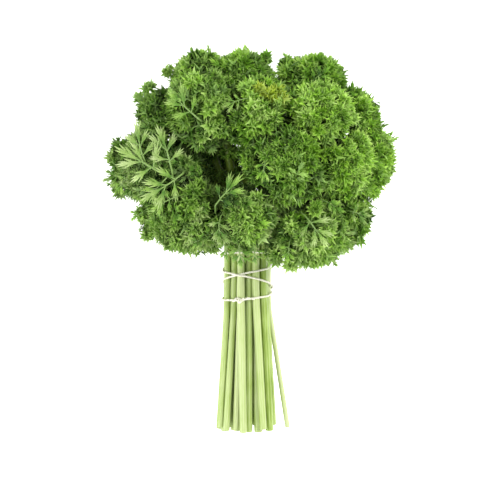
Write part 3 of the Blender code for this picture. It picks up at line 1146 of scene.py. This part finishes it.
# %% Where whole leaves lie open
# Each open leaf: the head it lies on; azimuth and height of its place, seen from the middle of the
# head; heading of its stem; length; cut; tone; age; curl
OPEN_LEAVES = (
    ("leaf_head_15", 195, 69, 150, 0.028, FEATHER, 1.4, 1.00, 0.5),
    ("leaf_head_15", 156, 52, 108, 0.022, FEATHER, 1.2, 1.00, 0.4),
    ("leaf_head_15", 37, 77, 105, 0.024, FEATHER, 1.6, 1.00, 0.3),
    ("leaf_head_15", 302, 56, 212, 0.025, FEATHER, 1.0, 0.80, 0.4),
    ("leaf_head_15", 262, 54, 228, 0.020, FEATHER, 0.9, 0.70, 0.5),
    ("leaf_head_16", 200, 62, 200, 0.014, FEATHER, 0.9, 0.80, 0.8),
    ("leaf_head_16", 225, 55, 225, 0.014, BROAD, 0.6, 0.50, 0.8),
    ("leaf_head_23", 150, 55, 205, 0.015, BROAD, 0.8, 0.60, 0.8),
    ("leaf_head_18", 70, 75, 110, 0.018, BROAD, -0.6, 0.90, 0.3),
    ("leaf_head_18", 250, 65, 70, 0.016, FEATHER, -0.5, 0.90, 0.3),
    ("leaf_head_22", 150, 50, 42, 0.020, FEATHER, -0.4, 0.80, 0.2),
    ("leaf_head_22", 205, 48, 262, 0.015, BROAD, 0.3, 1.00, 0.8),
    ("leaf_head_22", 262, 22, 266, 0.016, FEATHER, -0.4, 0.60, 0.9),
    ("leaf_head_22", 285, 20, 280, 0.014, FEATHER, -0.5, 0.60, 0.9),
    ("leaf_head_22", 240, 18, 262, 0.014, FEATHER, -0.4, 0.60, 0.9),
    ("leaf_head_21", 225, 50, 262, 0.012, FEATHER, 0.3, 0.30, 0.5),
    ("leaf_head_21", 60, 78, 305, 0.020, FEATHER, 0.9, 0.80, 0.3),
    ("leaf_head_20", 20, 66, 345, 0.013, BROAD, 0.6, 0.95, 0.4),
    ("leaf_head_20", 292, 62, 300, 0.014, BROAD, 0.6, 0.90, 0.5),
    ("leaf_head_07", 150, 45, 196, 0.012, FEATHER, 0.8, 0.80, 0.3),
    ("leaf_head_14", 165, 62, 262, 0.012, FEATHER, 0.6, 0.40, 0.4),
    ("leaf_head_08", 195, 64, 138, 0.022, FEATHER, 0.5, 0.75, 0.4),
)
# A ray to a spot of a head starts this many times SIGHT from the middle of the head
FAR_OUT = 3


def on_head(head, azimuth, height):
    """The spot of a head that a direction meets, and its normal."""
    a, h = math.radians(azimuth), math.radians(height)
    out = Vector((math.cos(a) * math.cos(h), math.sin(a) * math.cos(h), math.sin(h)))
    place, normal, _, _ = trees[head].ray_cast(middles[head] + out * SIGHT * FAR_OUT, -out)
    return place, normal


def open_places(head):
    """The place, face, stem heading and looks of each open leaf on a head."""
    found = []
    for name, azimuth, height, heading, *looks in OPEN_LEAVES:
        if name == head:
            place, normal = on_head(head, azimuth, height)
            up = (normal + UPRIGHT).normalized()
            g = math.radians(heading)
            found.append((place, up, Vector((math.cos(g), math.sin(g), 0)), *looks))
    return found


print("leaves that lie open:", len(OPEN_LEAVES))

# %% Tufts that stray from their head
# The head, the azimuth and height of the tuft, and how far it stands out
STRAYS = (
    ("leaf_head_01", 165, 5, 0.0060),
    ("leaf_head_01", 140, 10, 0.0070),
    ("leaf_head_01", 150, 30, 0.0060),
    ("leaf_head_02", 25, 5, 0.0060),
    ("leaf_head_09", 150, 10, 0.0060),
    ("leaf_head_09", 120, 15, 0.0060),
    ("leaf_head_03", 170, 10, 0.0050),
    ("leaf_head_16", 130, 10, 0.0070),
    ("leaf_head_16", 145, 0, 0.0060),
    ("leaf_head_16", 160, 15, 0.0040),
    ("leaf_head_16", 205, 5, 0.0050),
    ("leaf_head_16", 228, 0, 0.0070),
    ("leaf_head_24", 172, 10, 0.0060),
    ("leaf_head_24", 190, 0, 0.0070),
    ("leaf_head_24", 207, 5, 0.0070),
    ("leaf_head_21", 205, -5, 0.0060),
    ("leaf_head_21", 218, 0, 0.0080),
    ("leaf_head_21", 232, -5, 0.0080),
    ("leaf_head_21", 246, 5, 0.0060),
    ("leaf_head_21", 222, -30, 0.0090),
)
for name, azimuth, height, out in STRAYS:
    place, normal = on_head(name, azimuth, height)
    tufts[name].append((place + normal * out, normal))
print("tufts that stray:", len(STRAYS))

# %% Where the leaves have turned yellow
YELLOWED_PLACE = on_head("leaf_head_07", azimuth=52, height=25)[0]
YELLOWED_REACH = 0.0085
YELLOWED_AGE = -1.2
print("the yellowed leaves are at", [round(c, 3) for c in YELLOWED_PLACE])

# %% How the tufts of one head differ
# A tuft is turned partly along its normal, partly out of its head, partly out of the crown, and
# strays
ALONG_NORMAL = 0.5
OUT_OF_HEAD = 0.3
OUT_OF_CROWN = 0.3
TUFT_STRAY = 0.3
TUFT_SIZES = (0.85, 1.15)
TUFT_TONE = 0.9
# Leaves are painted darker where their head meets another, as painted shade
CREVICE = 0.0070
CREVICE_PAINTED_SHADE = 1.3
# Leaves of one head differ in age and tone by patches
PATCH_SCALE = 75.0
PATCH_AGE = 0.50
PATCH_TONE = 1.0
# Unseeded, the patches would lie elsewhere each time
PATCH_SEED = 4
field.seed_set(PATCH_SEED)
# Old heads are looser: a share of their tufts lie deeper, and are painted darker as painted shade
GAP_SHARE = 0.24
GAP_DEPTH = 0.0045
GAP_PAINTED_SHADE = -1.2
# Tufts in a hollow, or in the way of an open leaf, are sunk and painted darker, as painted shade
CLEARING = 0.55
SUNK = 0.0070
SUNK_PAINTED_SHADE = -1.1
# Faces that look down are hidden, so their tufts are sparser
UNDERNEATH = -0.35
LEAFLETS_UNDERNEATH = 9


def crevice(head, place):
    """From 0, in the open, to 1, where a head meets another and its leaves get painted shade."""
    gaps = [tree.find_nearest(place, CREVICE)[3] for tree in other_trees(head)]
    return 1 - min([gap for gap in gaps if gap is not None] + [CREVICE]) / CREVICE


def is_sunk(place, opened):
    """True for a tuft in a hollow, or in the way of an open leaf."""
    if in_hollow(place):
        return True
    return any((place - spot).length < CLEARING * length for spot, _, _, length, *_ in opened)


# %% Grow one head
# Branchlets start this share of the way from the end of the stalk to the middle of the head
FORK = 0.35
TWIG_POINTS = 4
TWIG_BOW = 0.08
SPRAY_STRAY = 0.3
SPRAY_TONE = 0.4
TURNED_OVER = 0.6
INNER_SIZE = 1.6
INNER_LEAFLETS = 8
# Low leaves: how far over a stalk a hollow is looked for, how high they stand, and their tone,
# which is painted shade
HOLLOW_REACH = 0.012
SIDE_LIFT = 0.008
HOLLOW_PAINTED_SHADE = -0.5


def bowed(start, end):
    """A slightly bowed path."""
    bow = (end - start).orthogonal().normalized() * (end - start).length * TWIG_BOW
    shares = [i / (TWIG_POINTS - 1) for i in range(TWIG_POINTS)]
    return [start.lerp(end, t) + bow * math.sin(math.pi * t) for t in shares]


def grow_tuft(growth, head, start, spot, habit, opened):
    """One tuft on the face of a head, sometimes with a spray, and its branchlet."""
    age, flat_share, head_tone, proud = habit
    place, normal = spot
    away = (place - middles[head]).normalized()
    outward = (place - crown_middle).normalized()
    way = normal * ALONG_NORMAL + away * OUT_OF_HEAD + outward * OUT_OF_CROWN
    way = (way + random_way() * TUFT_STRAY).normalized()
    # Where the head meets another the tone is lowered: painted shade
    tone = head_tone + stray(TUFT_TONE) - CREVICE_PAINTED_SHADE * crevice(head, place)
    scale = rng.uniform(*TUFT_SIZES)
    # Some tufts of old heads lie deeper and get painted shade
    if rng.random() < GAP_SHARE * age:
        place = place - normal * GAP_DEPTH
        tone += GAP_PAINTED_SHADE
    patch = field.noise_vector(place * PATCH_SCALE)
    tone += PATCH_TONE * patch.x
    growth.age = max(0.0, age + PATCH_AGE * patch.y)
    if (place - YELLOWED_PLACE).length < YELLOWED_REACH:
        growth.age = YELLOWED_AGE
    place = place + normal * proud
    # Sunk tufts get painted shade
    if is_sunk(place, opened):
        place = place - normal * SUNK
        tone += SUNK_PAINTED_SHADE
    count = LEAFLETS_UNDERNEATH if normal.z < UNDERNEATH else LEAFLETS_A_TUFT
    root = brush(growth, place, way, scale, tone, count)
    if rng.random() < flat_share:
        grow = (place - start).normalized() + random_way() * SPRAY_STRAY
        face_up = -1 if rng.random() < age * TURNED_OVER else 1
        flat_tone = min(tone, SPRAY_TONE)
        spray(growth, place, way, grow, SPRAY_LENGTH * scale, flat_tone, face_up)
    growth.twig(bowed(start, root), TWIG_BASE, TWIG_TIP)


def grow_head(index, head):
    """The piece of one leaf head: its leaflets and its branchlets."""
    stalk_line = lines[STALKS[index]][0]
    start = stalk_line[-1].lerp(middles[head], FORK)
    habit = HABITS.get(head, OTHER_HABIT)
    age, _, head_tone, _ = habit
    growth = Growth(age)
    opened = open_places(head)
    for spot in tufts[head]:
        grow_tuft(growth, head, start, spot, habit, opened)
    growth.age = age
    for place, normal in inner_tufts[head]:
        # Inner tufts lie deep in the head and get painted shade
        tone = head_tone + SUNK_PAINTED_SHADE
        root = brush(growth, place, normal, INNER_SIZE, tone, INNER_LEAFLETS)
        growth.twig([start, root], TWIG_BASE, TWIG_TIP)
    for place in stalk_line:
        if in_hollow(place + UPRIGHT * HOLLOW_REACH, low_leaves):
            place = place + UPRIGHT * SIDE_LIFT
            # Low leaves in a hollow get painted shade
            brush(growth, place, UPRIGHT, 1.0, HOLLOW_PAINTED_SHADE, INNER_LEAFLETS)
    for place, up, grow, length, cut_, tone, leaf_age, curl in opened:
        growth.age = leaf_age
        open_leaf(growth, place, up, grow, length, cut_, tone, curl)
    values = {"Leaflet cuts": cuts, "Seed": index, "Branch material": branch}
    grown_from = (growth.points, growth.edges, growth.attributes())
    return grown("curly_" + head, *grown_from, crown, values)


# %% Press the leaves that touch the table
PRESS = 0.0022


def press_down(piece):
    """Leaves that would go through the table are squashed flat on it."""
    data = piece.data
    flat = [0.0] * (3 * len(data.vertices))
    data.vertices.foreach_get("co", flat)
    for i in range(2, len(flat), 3):
        if flat[i] < PRESS:
            flat[i] = PRESS * math.exp((flat[i] - PRESS) / PRESS)
    data.vertices.foreach_set("co", flat)
    data.update()


crowns = {}
for index, head in enumerate(HEADS):
    crowns[head] = grow_head(index, head)
    press_down(crowns[head])
print("triangles in each head:", [triangles(crowns[head]) for head in HEADS])
print("triangles of leaf in all:", sum(triangles(c) for c in crowns.values()))

# %% [markdown]
# ## Ribbed stalks and twisted string
#
# A parsley stalk has fine ribs along it, and a cord has plies that turn about its axis. Both are
# one idea: a lobed outline swept along a line, with or without a twist. One tree makes both. It
# stores how far along and where round the piece each point lies, and the materials read that.

# %% Build the sweep tree


def sweep_tree():
    """A lobed outline swept along a line of points, with a twist."""
    inputs = (
        ("Lobes", "Int", 8),
        ("Lobe depth", "Float", 0.06),
        ("Points a lobe", "Int", 3),
        ("Turns a metre", "Float", 0.0),
        ("Step", "Float", 0.004),
        ("Finish", "Material", None),
    )
    tree = new_tree("lobed_sweep", inputs)
    given = tree.nodes.new("NodeGroupInput").outputs

    def calc(operation, a, b=0.0):
        """One step of arithmetic in this tree."""
        return math_node(tree, operation, a, b)

    # The path, with its length stored and its twist set
    line = made(tree, "GeometryNodeMeshToCurve", {"Mesh": given["Geometry"]})
    wires = {"Curve": line}
    soft = made(tree, "GeometryNodeCurveSplineType", wires, spline_type="CATMULL_ROM")
    wires = {"Curve": soft, "Length": given["Step"]}
    even = made(tree, "GeometryNodeResampleCurve", wires, mode="LENGTH")
    length = add(tree, "GeometryNodeSplineParameter").outputs["Length"]
    turn = calc("MULTIPLY", calc("MULTIPLY", length, given["Turns a metre"]), math.tau)
    wires = {"Curve": stored(tree, even, "along", length), "Tilt": turn}
    path = made(tree, "GeometryNodeSetCurveTilt", wires)

    # The outline: a circle drawn in by a wave, which is 0 on a lobe and 1 in a groove
    count = calc("MULTIPLY", given["Lobes"], given["Points a lobe"])
    ring = made(tree, "GeometryNodeCurvePrimitiveCircle", {"Resolution": count, "Radius": 1.0})
    place = made(tree, "GeometryNodeInputPosition")
    ring = stored(tree, ring, "round", place, "FLOAT_VECTOR")
    lobe = calc("DIVIDE", made(tree, "GeometryNodeInputIndex"), given["Points a lobe"])
    cosine = calc("COSINE", calc("MULTIPLY", lobe, math.tau))
    wave = calc("MULTIPLY", calc("SUBTRACT", 1.0, cosine), 0.5)
    ring = stored(tree, ring, "ply", calc("SUBTRACT", 1.0, wave))
    shrink = calc("SUBTRACT", 1.0, calc("MULTIPLY", wave, given["Lobe depth"]))
    inner = made(tree, "ShaderNodeVectorMath", {0: place, "Scale": shrink}, operation="SCALE")
    outline = made(tree, "GeometryNodeSetPosition", {"Geometry": ring, "Position": inner})

    tube = tube_along(tree, path, outline)
    real = made(tree, "GeometryNodeRealizeInstances", {"Geometry": tube})
    add(tree, "NodeGroupOutput", {0: finished(tree, real, given["Finish"])})
    return tree


sweep = sweep_tree()
print("sweep tree has", len(sweep.nodes), "nodes")


def swept(name, points, thickness, tone, values):
    """A piece swept along points with the sweep tree."""
    edges = [(i, i + 1) for i in range(len(points) - 1)]
    attributes = {"thick": ("FLOAT", thickness), "tone": ("FLOAT", [tone] * len(points))}
    return grown(name, points, edges, attributes, sweep, values)


# %% Finish the two ends of a stalk
# The rings of a cut face, from its rim inwards: how wide each is, as a share of the radius, and
# how far its inner edge stands out, in metres
PITH_RINGS = ((0.10, 0.00012), (0.30, -0.00010), (0.35, -0.00025))
# The side faces have four corners, and the cut ends have more
SIDE_CORNERS = 4


def finish_ends(piece, finish):
    """Each flat end gets a bevelled rim, a ring of vessels and a sunk middle."""
    shape = bmesh.new()
    shape.from_mesh(piece.data)
    rim = shape.verts.layers.float.new("rim")
    piece.data.materials.append(finish)
    caps = [face for face in shape.faces if len(face.verts) > SIDE_CORNERS]
    for cap in caps:
        for vert in cap.verts:
            vert[rim] = 1.0
        radius = (cap.verts[0].co - cap.calc_center_median()).length
        outward = cap.normal.copy()
        reached = 1.0
        for share, depth in PITH_RINGS:
            reached -= share
            width = share * radius
            bmesh.ops.inset_region(shape, faces=[cap], thickness=width, use_even_offset=False)
            cap.material_index = 1
            for face in {f for edge in cap.edges for f in edge.link_faces}:
                face.material_index = 1
            for vert in cap.verts:
                vert.co += outward * depth
                vert[rim] = reached
        centre = bmesh.ops.poke(shape, faces=[cap])["verts"][0]
        centre[rim] = 0.0
        for face in centre.link_faces:
            face.material_index = 1
    shape.to_mesh(piece.data)
    shape.free()
    for face in piece.data.polygons:
        face.use_smooth = face.material_index == 0


# %% Sweep the stalks
RIBS = 9
RIB_DEPTH = 0.10
STALK_STEP = 0.005
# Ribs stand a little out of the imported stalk, and grooves lie a little in it. Inside its head a
# stalk runs on and tapers
STALK_FLARE = 1.09
STALK_IN_HEAD = 0.45
STALK_TAPER = 0.55
# Stalks whose tone stands out: two at the side are darker and greener, three are paler
STALK_TONES = {
    "stalk_08": 1.2,
    "stalk_13": -2.2,
    "stalk_20": 1.4,
    "stalk_21": -2.8,
    "stalk_22": 0.8,
}
STALK_TONE = 1.0
TABLE_GAP = 0.00005


def clear_of_table(points, thickness):
    """The points raised where the piece would cut into the table."""
    return [Vector((p.x, p.y, max(p.z, r + TABLE_GAP))) for p, r in zip(points, thickness)]


stalk_pieces = {}
for index, stalk in enumerate(STALKS):
    centres, radii = lines[stalk]
    inner = centres[-1].lerp(middles[HEADS[index]], STALK_IN_HEAD)
    thickness = [r * STALK_FLARE for r in radii] + [radii[-1] * STALK_TAPER]
    points = clear_of_table(centres + [inner], thickness)
    values = {"Lobes": RIBS, "Lobe depth": RIB_DEPTH, "Step": STALK_STEP, "Finish": stem}
    tone = STALK_TONES.get(stalk, stray(STALK_TONE))
    piece = swept("ribbed_" + stalk, points, thickness, tone, values)
    finish_ends(piece, cut)
    stalk_pieces[stalk] = piece
print("triangles in each stalk:", [triangles(p) for p in stalk_pieces.values()])

# %% [markdown]
# ## Drawing the string tight
#
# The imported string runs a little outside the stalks, as a solid must. A real string is pulled
# until it lies on them and runs straight from ridge to ridge. A few rounds of relaxing do that:
# every point moves towards the middle of its neighbours, then out of the stalks and off the other
# turns of the string, and never further from its packed place than a set limit. Both of its ends
# stay in the knot, so it has no free end.

# %% Relax the string on the stalks
CORD_SPACING = 0.001
ROUNDS = 80
PULL = 0.5
MOST_MOVE = 0.0016
# A pulled cord is squeezed to this share of its radius where it touches
CORD_GRIP = 0.90
# Points this near along the string aren't another turn of it
NEAR_ALONG = 4


def even_points(points, spacing):
    """Points at an even spacing along a line of points."""
    spots, left = [points[0].copy()], spacing
    for a, b in zip(points, points[1:]):
        run = (b - a).length
        while left < run:
            spots.append(a.lerp(b, left / run))
            left += spacing
        left -= run
    return spots + [points[-1].copy()]


def solid_of(pieces):
    """One search tree for the faces of several pieces."""
    corners, faces = [], []
    for piece in pieces:
        first = len(corners)
        corners += [vert.co for vert in piece.data.vertices]
        faces += [[first + i for i in face.vertices] for face in piece.data.polygons]
    return BVHTree.FromPolygons(corners, faces)


def drawn_tight(points, radius, solid):
    """A string relaxed on a solid, with its two ends held."""
    start = [p.copy() for p in points]
    lift, apart = radius * CORD_GRIP, 2 * radius * CORD_GRIP
    for _ in range(ROUNDS):
        turns = KDTree(len(points))
        for i, point in enumerate(points):
            turns.insert(point, i)
        turns.balance()
        moved = [points[0]]
        for i in range(1, len(points) - 1):
            point = points[i].lerp((points[i - 1] + points[i + 1]) / 2, PULL)
            for other, k, gap in turns.find_range(point, apart):
                if abs(k - i) > NEAR_ALONG and gap > 0:
                    point += (point - other) / gap * (apart - gap) / 2
            touch, normal, _, _ = solid.find_nearest(point)
            height = (point - touch).dot(normal)
            if height < lift:
                point = point + normal * (lift - height)
            shift = point - start[i]
            if shift.length > MOST_MOVE:
                point = start[i] + shift * MOST_MOVE / shift.length
            moved.append(Vector((point.x, point.y, max(point.z, radius + TABLE_GAP))))
        points = moved + [points[-1]]
    return points


string_radius = lines["tie_string"][1][0]
knot_middle = middle_of(lines["tie_knot"][0])
loose = even_points([knot_middle] + lines["tie_string"][0] + [knot_middle], CORD_SPACING)
string_path = drawn_tight(loose, string_radius, solid_of(stalk_pieces.values()))
string_length = sum((b - a).length for a, b in zip(string_path, string_path[1:]))
loose_length = len(loose) * CORD_SPACING
print("string drawn from", round(loose_length * 1000), "mm to", round(string_length * 1000), "mm")

# %% Sweep the string, its knot and its two tails
PLIES = 3
PLY_DEPTH = 0.30
PLY_POINTS = 5
CORD_TURNS = 260.0
CORD_STEP = 0.00045
# Thickness over the plies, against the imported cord
STRING_SWELL = 1.12
KNOT_SWELL = 1.40
# The knot is pulled tight: longer along X and flatter along Y
KNOT_LENGTHEN = 1.15
KNOT_FLATTEN = 0.65
# The two tails: the end of the string that each follows, forwards or backwards, and for how far,
# in steps of CORD_SPACING
TAILS = ((1, 6), (-1, 10))
TAIL_SWELL = 1.0
TAIL_WEAVE = 0.7
TAIL_LIFT = 0.6


def tail_path(way, steps):
    """A short end of the string that is wound along the string beside the knot."""
    strand = string_path[1:steps + 2] if way > 0 else string_path[-2:-steps - 3:-1]
    path = []
    for i, (a, b) in enumerate(zip(strand, strand[1:])):
        side = (b - a).cross(UPRIGHT).normalized()
        over = side.cross(b - a).normalized()
        over = over if over.z > 0 else -over
        swing = TAIL_WEAVE * i
        path.append(a + (side * math.cos(swing) + over * TAIL_LIFT) * string_radius)
    return path


def twisted(name, points, radius):
    """A length of plied cord along some points."""
    values = {
        "Lobes": PLIES,
        "Lobe depth": PLY_DEPTH,
        "Points a lobe": PLY_POINTS,
        "Turns a metre": CORD_TURNS,
        "Step": CORD_STEP,
        "Finish": cotton,
    }
    cord = swept(name, points, [radius] * len(points), 0.0, values)
    for face in cord.data.polygons:
        face.use_smooth = len(face.vertices) == SIDE_CORNERS
    return cord


def joined(pieces):
    """Several pieces as one mesh, under the name of the first."""
    shape = bmesh.new()
    for piece in pieces:
        shape.from_mesh(piece.data)
    shape.to_mesh(pieces[0].data)
    shape.free()
    for piece in pieces[1:]:
        bpy.data.objects.remove(piece)
    return pieces[0]


pulled = []
for point in lines["tie_knot"][0]:
    off = point - knot_middle
    pulled.append(knot_middle + Vector((off.x * KNOT_LENGTHEN, off.y * KNOT_FLATTEN, off.z)))
knot_radius = lines["tie_knot"][1][0]
knot_parts = [twisted("twisted_tie_knot", pulled, knot_radius * KNOT_SWELL)]
for way, steps in TAILS:
    knot_parts.append(twisted("tail", tail_path(way, steps), string_radius * TAIL_SWELL))
cords = {
    "tie_string": twisted("twisted_tie_string", string_path, string_radius * STRING_SWELL),
    "tie_knot": joined(knot_parts),
}
print("triangles in string and knot:", [triangles(p) for p in cords.values()])

# %% [markdown]
# ## The pieces and the frame
#
# Every piece rides on the one body of the bunch and stands for its own imported node.

# %% Hand the pieces to the frame
for cut_leaf in LEAFLETS:
    bpy.data.objects.remove(cut_leaf)
bpy.data.collections.remove(cuts)
for head, piece in crowns.items():
    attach(piece, "root")
    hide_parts(head)
for stalk, piece in stalk_pieces.items():
    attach(piece, "root")
    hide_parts(stalk)
for cord, piece in cords.items():
    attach(piece, "root")
    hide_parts(cord)
print("pieces handed over:", len(crowns) + len(stalk_pieces) + len(cords))

# %% [markdown]
# ## Table, light and camera
#
# The bunch lies down, so the camera looks straight down on it. The light is as in a light tent: a
# large soft lamp at the right, a weaker one at the left, and a pale sky that is brightest near the
# horizon, so the sides are lit too. The paper glows a little, which fades the shadow on it.

# %% Table
TABLE_SIDE = 8.0
PAPER_GLOW = 0.80
PAPER_COLOURS = ((0.3, (0.90, 0.90, 0.90)), (0.7, (0.93, 0.93, 0.93)))
WHITE = (1.0, 1.0, 1.0, 1.0)
half = TABLE_SIDE / 2
table_corners = [(-half, -half, 0), (half, -half, 0), (half, half, 0), (-half, half, 0)]
table_mesh = bpy.data.meshes.new("table_top")
table_mesh.from_pydata(table_corners, [], [(0, 1, 2, 3)])
table = in_scene("table_top", table_mesh)
paper, paper_tree, paper_shader = new_material("pale_paper", roughness=0.9, specular=0.1)
paper_grain = noise(paper_tree, object_place(paper_tree), scale=500.0)
paper_colour = ramp(paper_tree, paper_grain, PAPER_COLOURS)
paper_tree.links.new(paper_colour, paper_shader.inputs["Base Color"])
paper_shader.inputs["Emission Color"].default_value = WHITE
paper_shader.inputs["Emission Strength"].default_value = PAPER_GLOW
table_mesh.materials.append(paper)
table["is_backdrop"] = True
print("table:", TABLE_SIDE, "m wide")

# %% Lamps
LAMP_TARGET = (0, 0, 0.04)


def soft_light(name, place, size, power):
    """A square area light that faces the bunch. size is in metres and power in watts."""
    light = bpy.data.lights.new(name, "AREA")
    light.shape = "SQUARE"
    light.size = size
    light.energy = power
    lamp = in_scene(name, light)
    lamp.location = place
    lamp.rotation_mode = "QUATERNION"
    ahead = Vector(LAMP_TARGET) - Vector(place)
    lamp.rotation_quaternion = ahead.to_track_quat("-Z", "Y")
    print(name, "is", round(ahead.length, 2), "m away")


soft_light("key_light", place=(0.9, 0.35, 1.1), size=0.8, power=17.0)
soft_light("fill_light", place=(-1.0, -0.3, 0.9), size=0.9, power=12.0)

# %% Sky
# Colours by height, from the horizon to straight up
SKY_COLOURS = ((0.0, (1.0, 1.0, 1.0)), (0.5, (0.60, 0.60, 0.60)), (1.0, (0.30, 0.30, 0.30)))
SKY_STRENGTH = 1.65
sky = bpy.data.worlds.new("pale_sky")
sky.use_nodes = True
sky_tree = sky.node_tree
way_out = add(sky_tree, "ShaderNodeTexCoord").outputs["Generated"]
upwards = add(sky_tree, "ShaderNodeSeparateXYZ", {0: way_out}).outputs["Z"]
backdrop = sky_tree.nodes["Background"]
sky_tree.links.new(ramp(sky_tree, upwards, SKY_COLOURS), backdrop.inputs["Color"])
backdrop.inputs["Strength"].default_value = SKY_STRENGTH
bpy.context.scene.world = sky
bpy.context.scene.view_settings.view_transform = "Standard"
print("sky strength:", SKY_STRENGTH)

# %% Camera
# The picture is as wide as PICTURE_WIDTH at the height of the leaves that face the camera
CAMERA_HEIGHT = 1.2
MIDDLE_HEIGHT = 0.045
PICTURE_WIDTH = 0.324
PICTURE_MIDDLE = (-0.0019, -0.0063)

camera_data = bpy.data.cameras.new("camera")
camera_data.lens = camera_data.sensor_width * CAMERA_HEIGHT / PICTURE_WIDTH
camera = in_scene("camera", camera_data)
camera.location = (*PICTURE_MIDDLE, MIDDLE_HEIGHT + CAMERA_HEIGHT)
bpy.context.scene.camera = camera
print("lens:", round(camera_data.lens, 1), "mm")

# %% Sizes, and the end
visual_box = [list(corner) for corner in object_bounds()]
for label, box in (("CAD", cad_box), ("visual", visual_box)):
    print(label, "box in mm:", [[round(c * 1000, 1) for c in corner] for corner in box])
